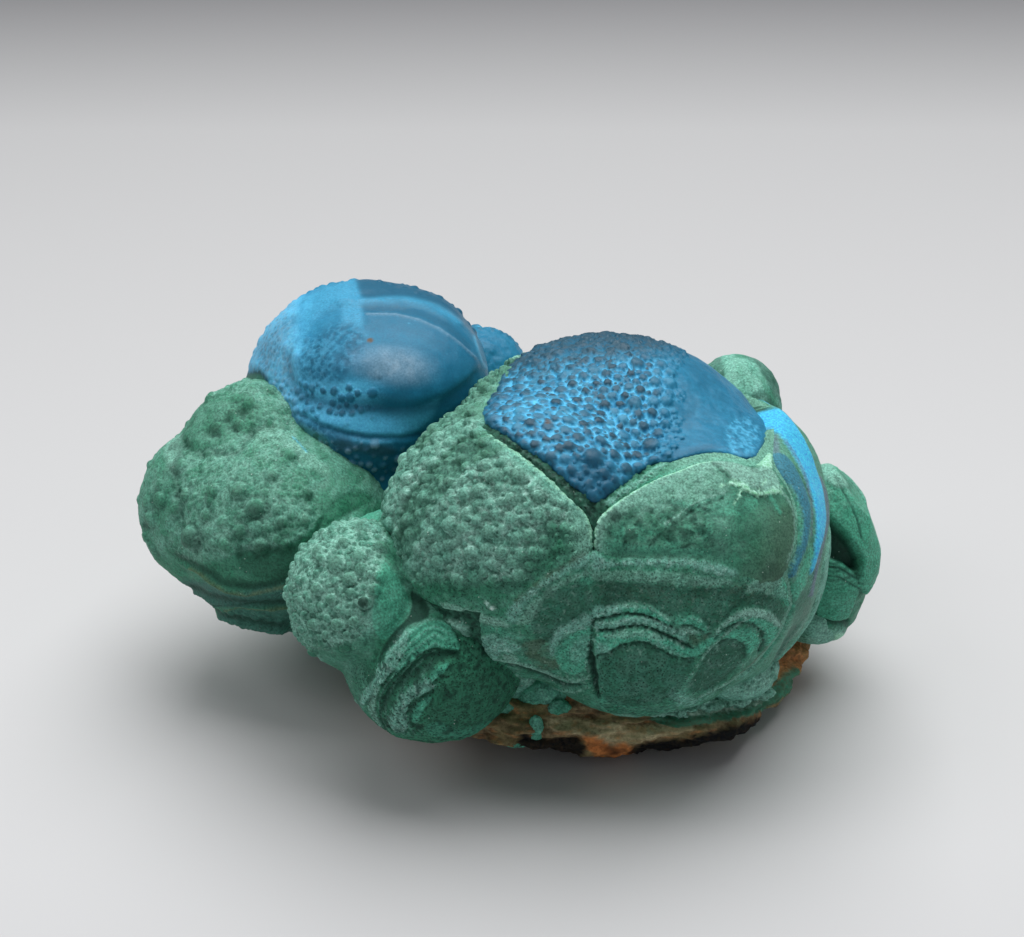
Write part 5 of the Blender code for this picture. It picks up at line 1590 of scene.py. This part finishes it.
def build_floor():
    """A pale floor of matte paper, with painted shade that darkens it far behind."""
    mesh = bmesh.new()
    bmesh.ops.create_grid(mesh, x_segments=1, y_segments=1, size=2.5)
    data = bpy.data.meshes.new("studio_floor")
    mesh.to_mesh(data)
    mesh.free()
    floor = bpy.data.objects.new("studio_floor", data)
    bpy.context.scene.collection.objects.link(floor)
    paper = bpy.data.materials.new("matte_backdrop_paper")
    paper.use_nodes = True
    tree = paper.node_tree
    where = node(tree, "ShaderNodeTexCoord").outputs["Object"]
    parts = node(tree, "ShaderNodeSeparateXYZ", None, {0: where})
    share = node(tree, "ShaderNodeMapRange", None, {0: parts.outputs["Y"], 1: -0.15, 2: 0.45}).outputs[0]
    # painted shade: the paper darkens towards the back, as if the light fell off there
    tones = [(0.0, "#c6c6c8"), (0.22, "#c9c9ca"), (0.5, "#b9b9ba"), (0.70, "#adadae"), (0.92, "#7c7c7e")]
    tint = node(tree, "ShaderNodeValToRGB", {"stops": [(place, srgb(tone)) for place, tone in tones]},
                {0: share}).outputs[0]
    shader = tree.nodes["Principled BSDF"]
    tree.links.new(tint, shader.inputs["Base Color"])
    shader.inputs["Roughness"].default_value = 0.75
    shader.inputs["Specular IOR Level"].default_value = 0.2
    data.materials.append(paper)


def build_lights(settings):
    """An even room, a large soft light above and a little behind, and a weak one from the left."""
    world = bpy.data.worlds.new("soft_room")
    world.use_nodes = True
    world.node_tree.nodes["Background"].inputs[0].default_value = srgb("#eef1f3")
    world.node_tree.nodes["Background"].inputs[1].default_value = settings.room_light
    bpy.context.scene.world = world
    for name, place, width, power in (
            ("key_softbox", (0.10, 0.30, 0.90), 1.0, settings.key_light),
            ("side_softbox", (-0.70, -0.10, 0.80), 0.5, settings.key_light * 0.15)):
        lamp = bpy.data.lights.new(name, "AREA")
        lamp.shape, lamp.size, lamp.energy = "SQUARE", width, power
        light = bpy.data.objects.new(name, lamp)
        light.location = place
        light.rotation_euler = (Vector(LIT_POINT) - Vector(place)).to_track_quat("-Z", "Y").to_euler()
        bpy.context.scene.collection.objects.link(light)


def build_camera():
    """The camera, where the photograph was taken from."""
    lens = bpy.data.cameras.new("camera")
    lens.lens, lens.sensor_width, lens.clip_start = LENS, SENSOR, 0.01
    camera = bpy.data.objects.new("camera", lens)
    camera.location = EYE * MM
    camera.rotation_euler = Vector(FORWARD).to_track_quat("-Z", "Y").to_euler()
    bpy.context.scene.collection.objects.link(camera)
    bpy.context.scene.camera = camera
    bpy.context.scene.view_settings.view_transform = "Standard"


# add-on


def colour_setting(name, description, text):
    return FloatVectorProperty(name=name, description=description, subtype="COLOR", size=3,
                               default=srgb(text)[:3])


class SpecimenSettings(bpy.types.PropertyGroup):
    fineness: IntProperty(
        name="Fineness", description="How many times the front skins are refined", default=3, min=0, max=3)
    malachite: colour_setting("Malachite", "Main green of the malachite", "#70b19e")
    malachite_deep: colour_setting("Deep malachite", "Its darker clouds", "#458673")
    malachite_light: colour_setting("Light malachite", "Its paler clouds", "#8cc4b4")
    chrysocolla: colour_setting("Chrysocolla", "Main blue of the chrysocolla", "#3fa0cc")
    limonite: colour_setting("Limonite", "Main brown of the host rock", "#85765a")
    room_light: FloatProperty(
        name="Room light", description="Strength of the even light from all round", default=0.25, min=0)
    key_light: FloatProperty(
        name="Key light", description="Power of the large soft light above", default=12.8, min=0,
        unit="POWER")


class SPECIMEN_OT_blue_cap(bpy.types.Operator):
    """Grow the bumpy blue cap"""
    bl_idname = "specimen.blue_cap"
    bl_label = "Blue cap"

    def execute(self, context):
        build_blue_cap(context.scene.specimen)
        return {"FINISHED"}


class SPECIMEN_OT_front_domes(bpy.types.Operator):
    """Grow the two green front domes"""
    bl_idname = "specimen.front_domes"
    bl_label = "Front domes"

    def execute(self, context):
        build_left_dome(context.scene.specimen)
        build_right_dome(context.scene.specimen)
        return {"FINISHED"}


class SPECIMEN_OT_foot_and_flank(bpy.types.Operator):
    """Grow the terraced foot, the ribboned flank and the floor of the seams"""
    bl_idname = "specimen.foot_and_flank"
    bl_label = "Foot, flank and seams"

    def execute(self, context):
        build_foot(context.scene.specimen)
        build_flank(context.scene.specimen)
        build_back(context.scene.specimen)
        return {"FINISHED"}


class SPECIMEN_OT_side_lobes(bpy.types.Operator):
    """Grow the left lobe, the blue lobe behind it and the small front lobe"""
    bl_idname = "specimen.side_lobes"
    bl_label = "Side lobes"

    def execute(self, context):
        build_left_lobe(context.scene.specimen)
        build_blue_lobe(context.scene.specimen)
        build_small_lobe(context.scene.specimen)
        return {"FINISHED"}


class SPECIMEN_OT_rear_lobes(bpy.types.Operator):
    """Grow the lobes of the rear side"""
    bl_idname = "specimen.rear_lobes"
    bl_label = "Rear lobes"

    def execute(self, context):
        settings = context.scene.specimen
        for number, form in enumerate(REAR):
            others = [other for other in REAR + [FRONT, BLUE, LEFT] if other is not form]
            build_lump(form, f"rear_lobe_{number + 1}", settings, 20 + number, fringe=2, neighbours=others,
                       base=6, sizes=((1.2, 30), (0.8, 120), (0.55, 300)))
        return {"FINISHED"}


class SPECIMEN_OT_buds(bpy.types.Operator):
    """Grow the small buds, the crevice floor and the broken shell"""
    bl_idname = "specimen.buds"
    bl_label = "Buds and shell"

    def execute(self, context):
        settings = context.scene.specimen
        build_lump(CREVICE, "crevice_floor", settings, 30, neighbours=[FRONT, LEFT, SMALL], levels=0, base=6)
        build_lump(HIND_BUD, "hind_bud", settings, 31, neighbours=[FRONT, SMALL], tint=("bright", 0.8))
        # the photograph shows the blue bud's smooth front; only its rear is bumpy
        build_lump(BLUE_BUD, "blue_bud", settings, 32, blue=0.9, sizes=((1.1, 20), (0.8, 60), (0.55, 120)),
                   material=chrysocolla(settings), rough=0.15,
                   where=lambda skin: smooth(0.1, 0.6, skin.ways[:, 1]))
        build_lump(MINT_BUD, "mint_bud", settings, 33, tint=("bright", 0.05), patches=MINT_PATCHES)
        build_lump(ROLL, "rolled_end", settings, 34, tint=("pale", 0.4))
        for number, form in enumerate(FOOT_BUDS):
            build_lump(form, f"foot_bud_{number + 1}", settings, 35 + number, sizes=((0.7, 12), (0.45, 40)))
        build_shell(settings)
        for number, (x, y, *radii) in enumerate(FRILLS):
            place = tuple(float(value) for value in HOST.under([(x, y)])[0])
            tint, rough = (("bright", 0.5), 0.25) if x < PALE_FRILLS_FROM else (("pale", 0.8), 0.6)
            build_lump(plain(place, tuple(radii)), f"green_frill_{number + 1}", settings, 40 + number,
                       levels=0, tint=tint, rough=rough)
        return {"FINISHED"}


class SPECIMEN_OT_host_rock(bpy.types.Operator):
    """Make the rough host rock that the crust stands on"""
    bl_idname = "specimen.host_rock"
    bl_label = "Host rock"

    def execute(self, context):
        build_rock(context.scene.specimen)
        return {"FINISHED"}


class SPECIMEN_OT_stage(bpy.types.Operator):
    """Set up the pale floor, the soft light and the camera"""
    bl_idname = "specimen.stage"
    bl_label = "Stage"

    def execute(self, context):
        build_floor()
        build_lights(context.scene.specimen)
        build_camera()
        return {"FINISHED"}


OPERATORS = (SPECIMEN_OT_blue_cap, SPECIMEN_OT_front_domes, SPECIMEN_OT_foot_and_flank,
             SPECIMEN_OT_side_lobes, SPECIMEN_OT_rear_lobes, SPECIMEN_OT_buds, SPECIMEN_OT_host_rock,
             SPECIMEN_OT_stage)


class SPECIMEN_PT_panel(bpy.types.Panel):
    bl_label = "Specimen"
    bl_space_type = "VIEW_3D"
    bl_region_type = "UI"
    bl_category = "Specimen"

    def draw(self, context):
        for name in SpecimenSettings.__annotations__:
            self.layout.prop(context.scene.specimen, name)
        for operator in OPERATORS:
            self.layout.operator(operator.bl_idname)


CLASSES = (SpecimenSettings, *OPERATORS, SPECIMEN_PT_panel)


def register():
    for item in CLASSES:
        bpy.utils.register_class(item)
    bpy.types.Scene.specimen = PointerProperty(type=SpecimenSettings)


def unregister():
    del bpy.types.Scene.specimen
    for item in reversed(CLASSES):
        bpy.utils.unregister_class(item)


def main():
    register()
    for operator in OPERATORS:
        group, name = operator.bl_idname.split(".")
        getattr(getattr(bpy.ops, group), name)()
    bpy.context.view_layer.update()


if __name__ == "__main__":
    main()
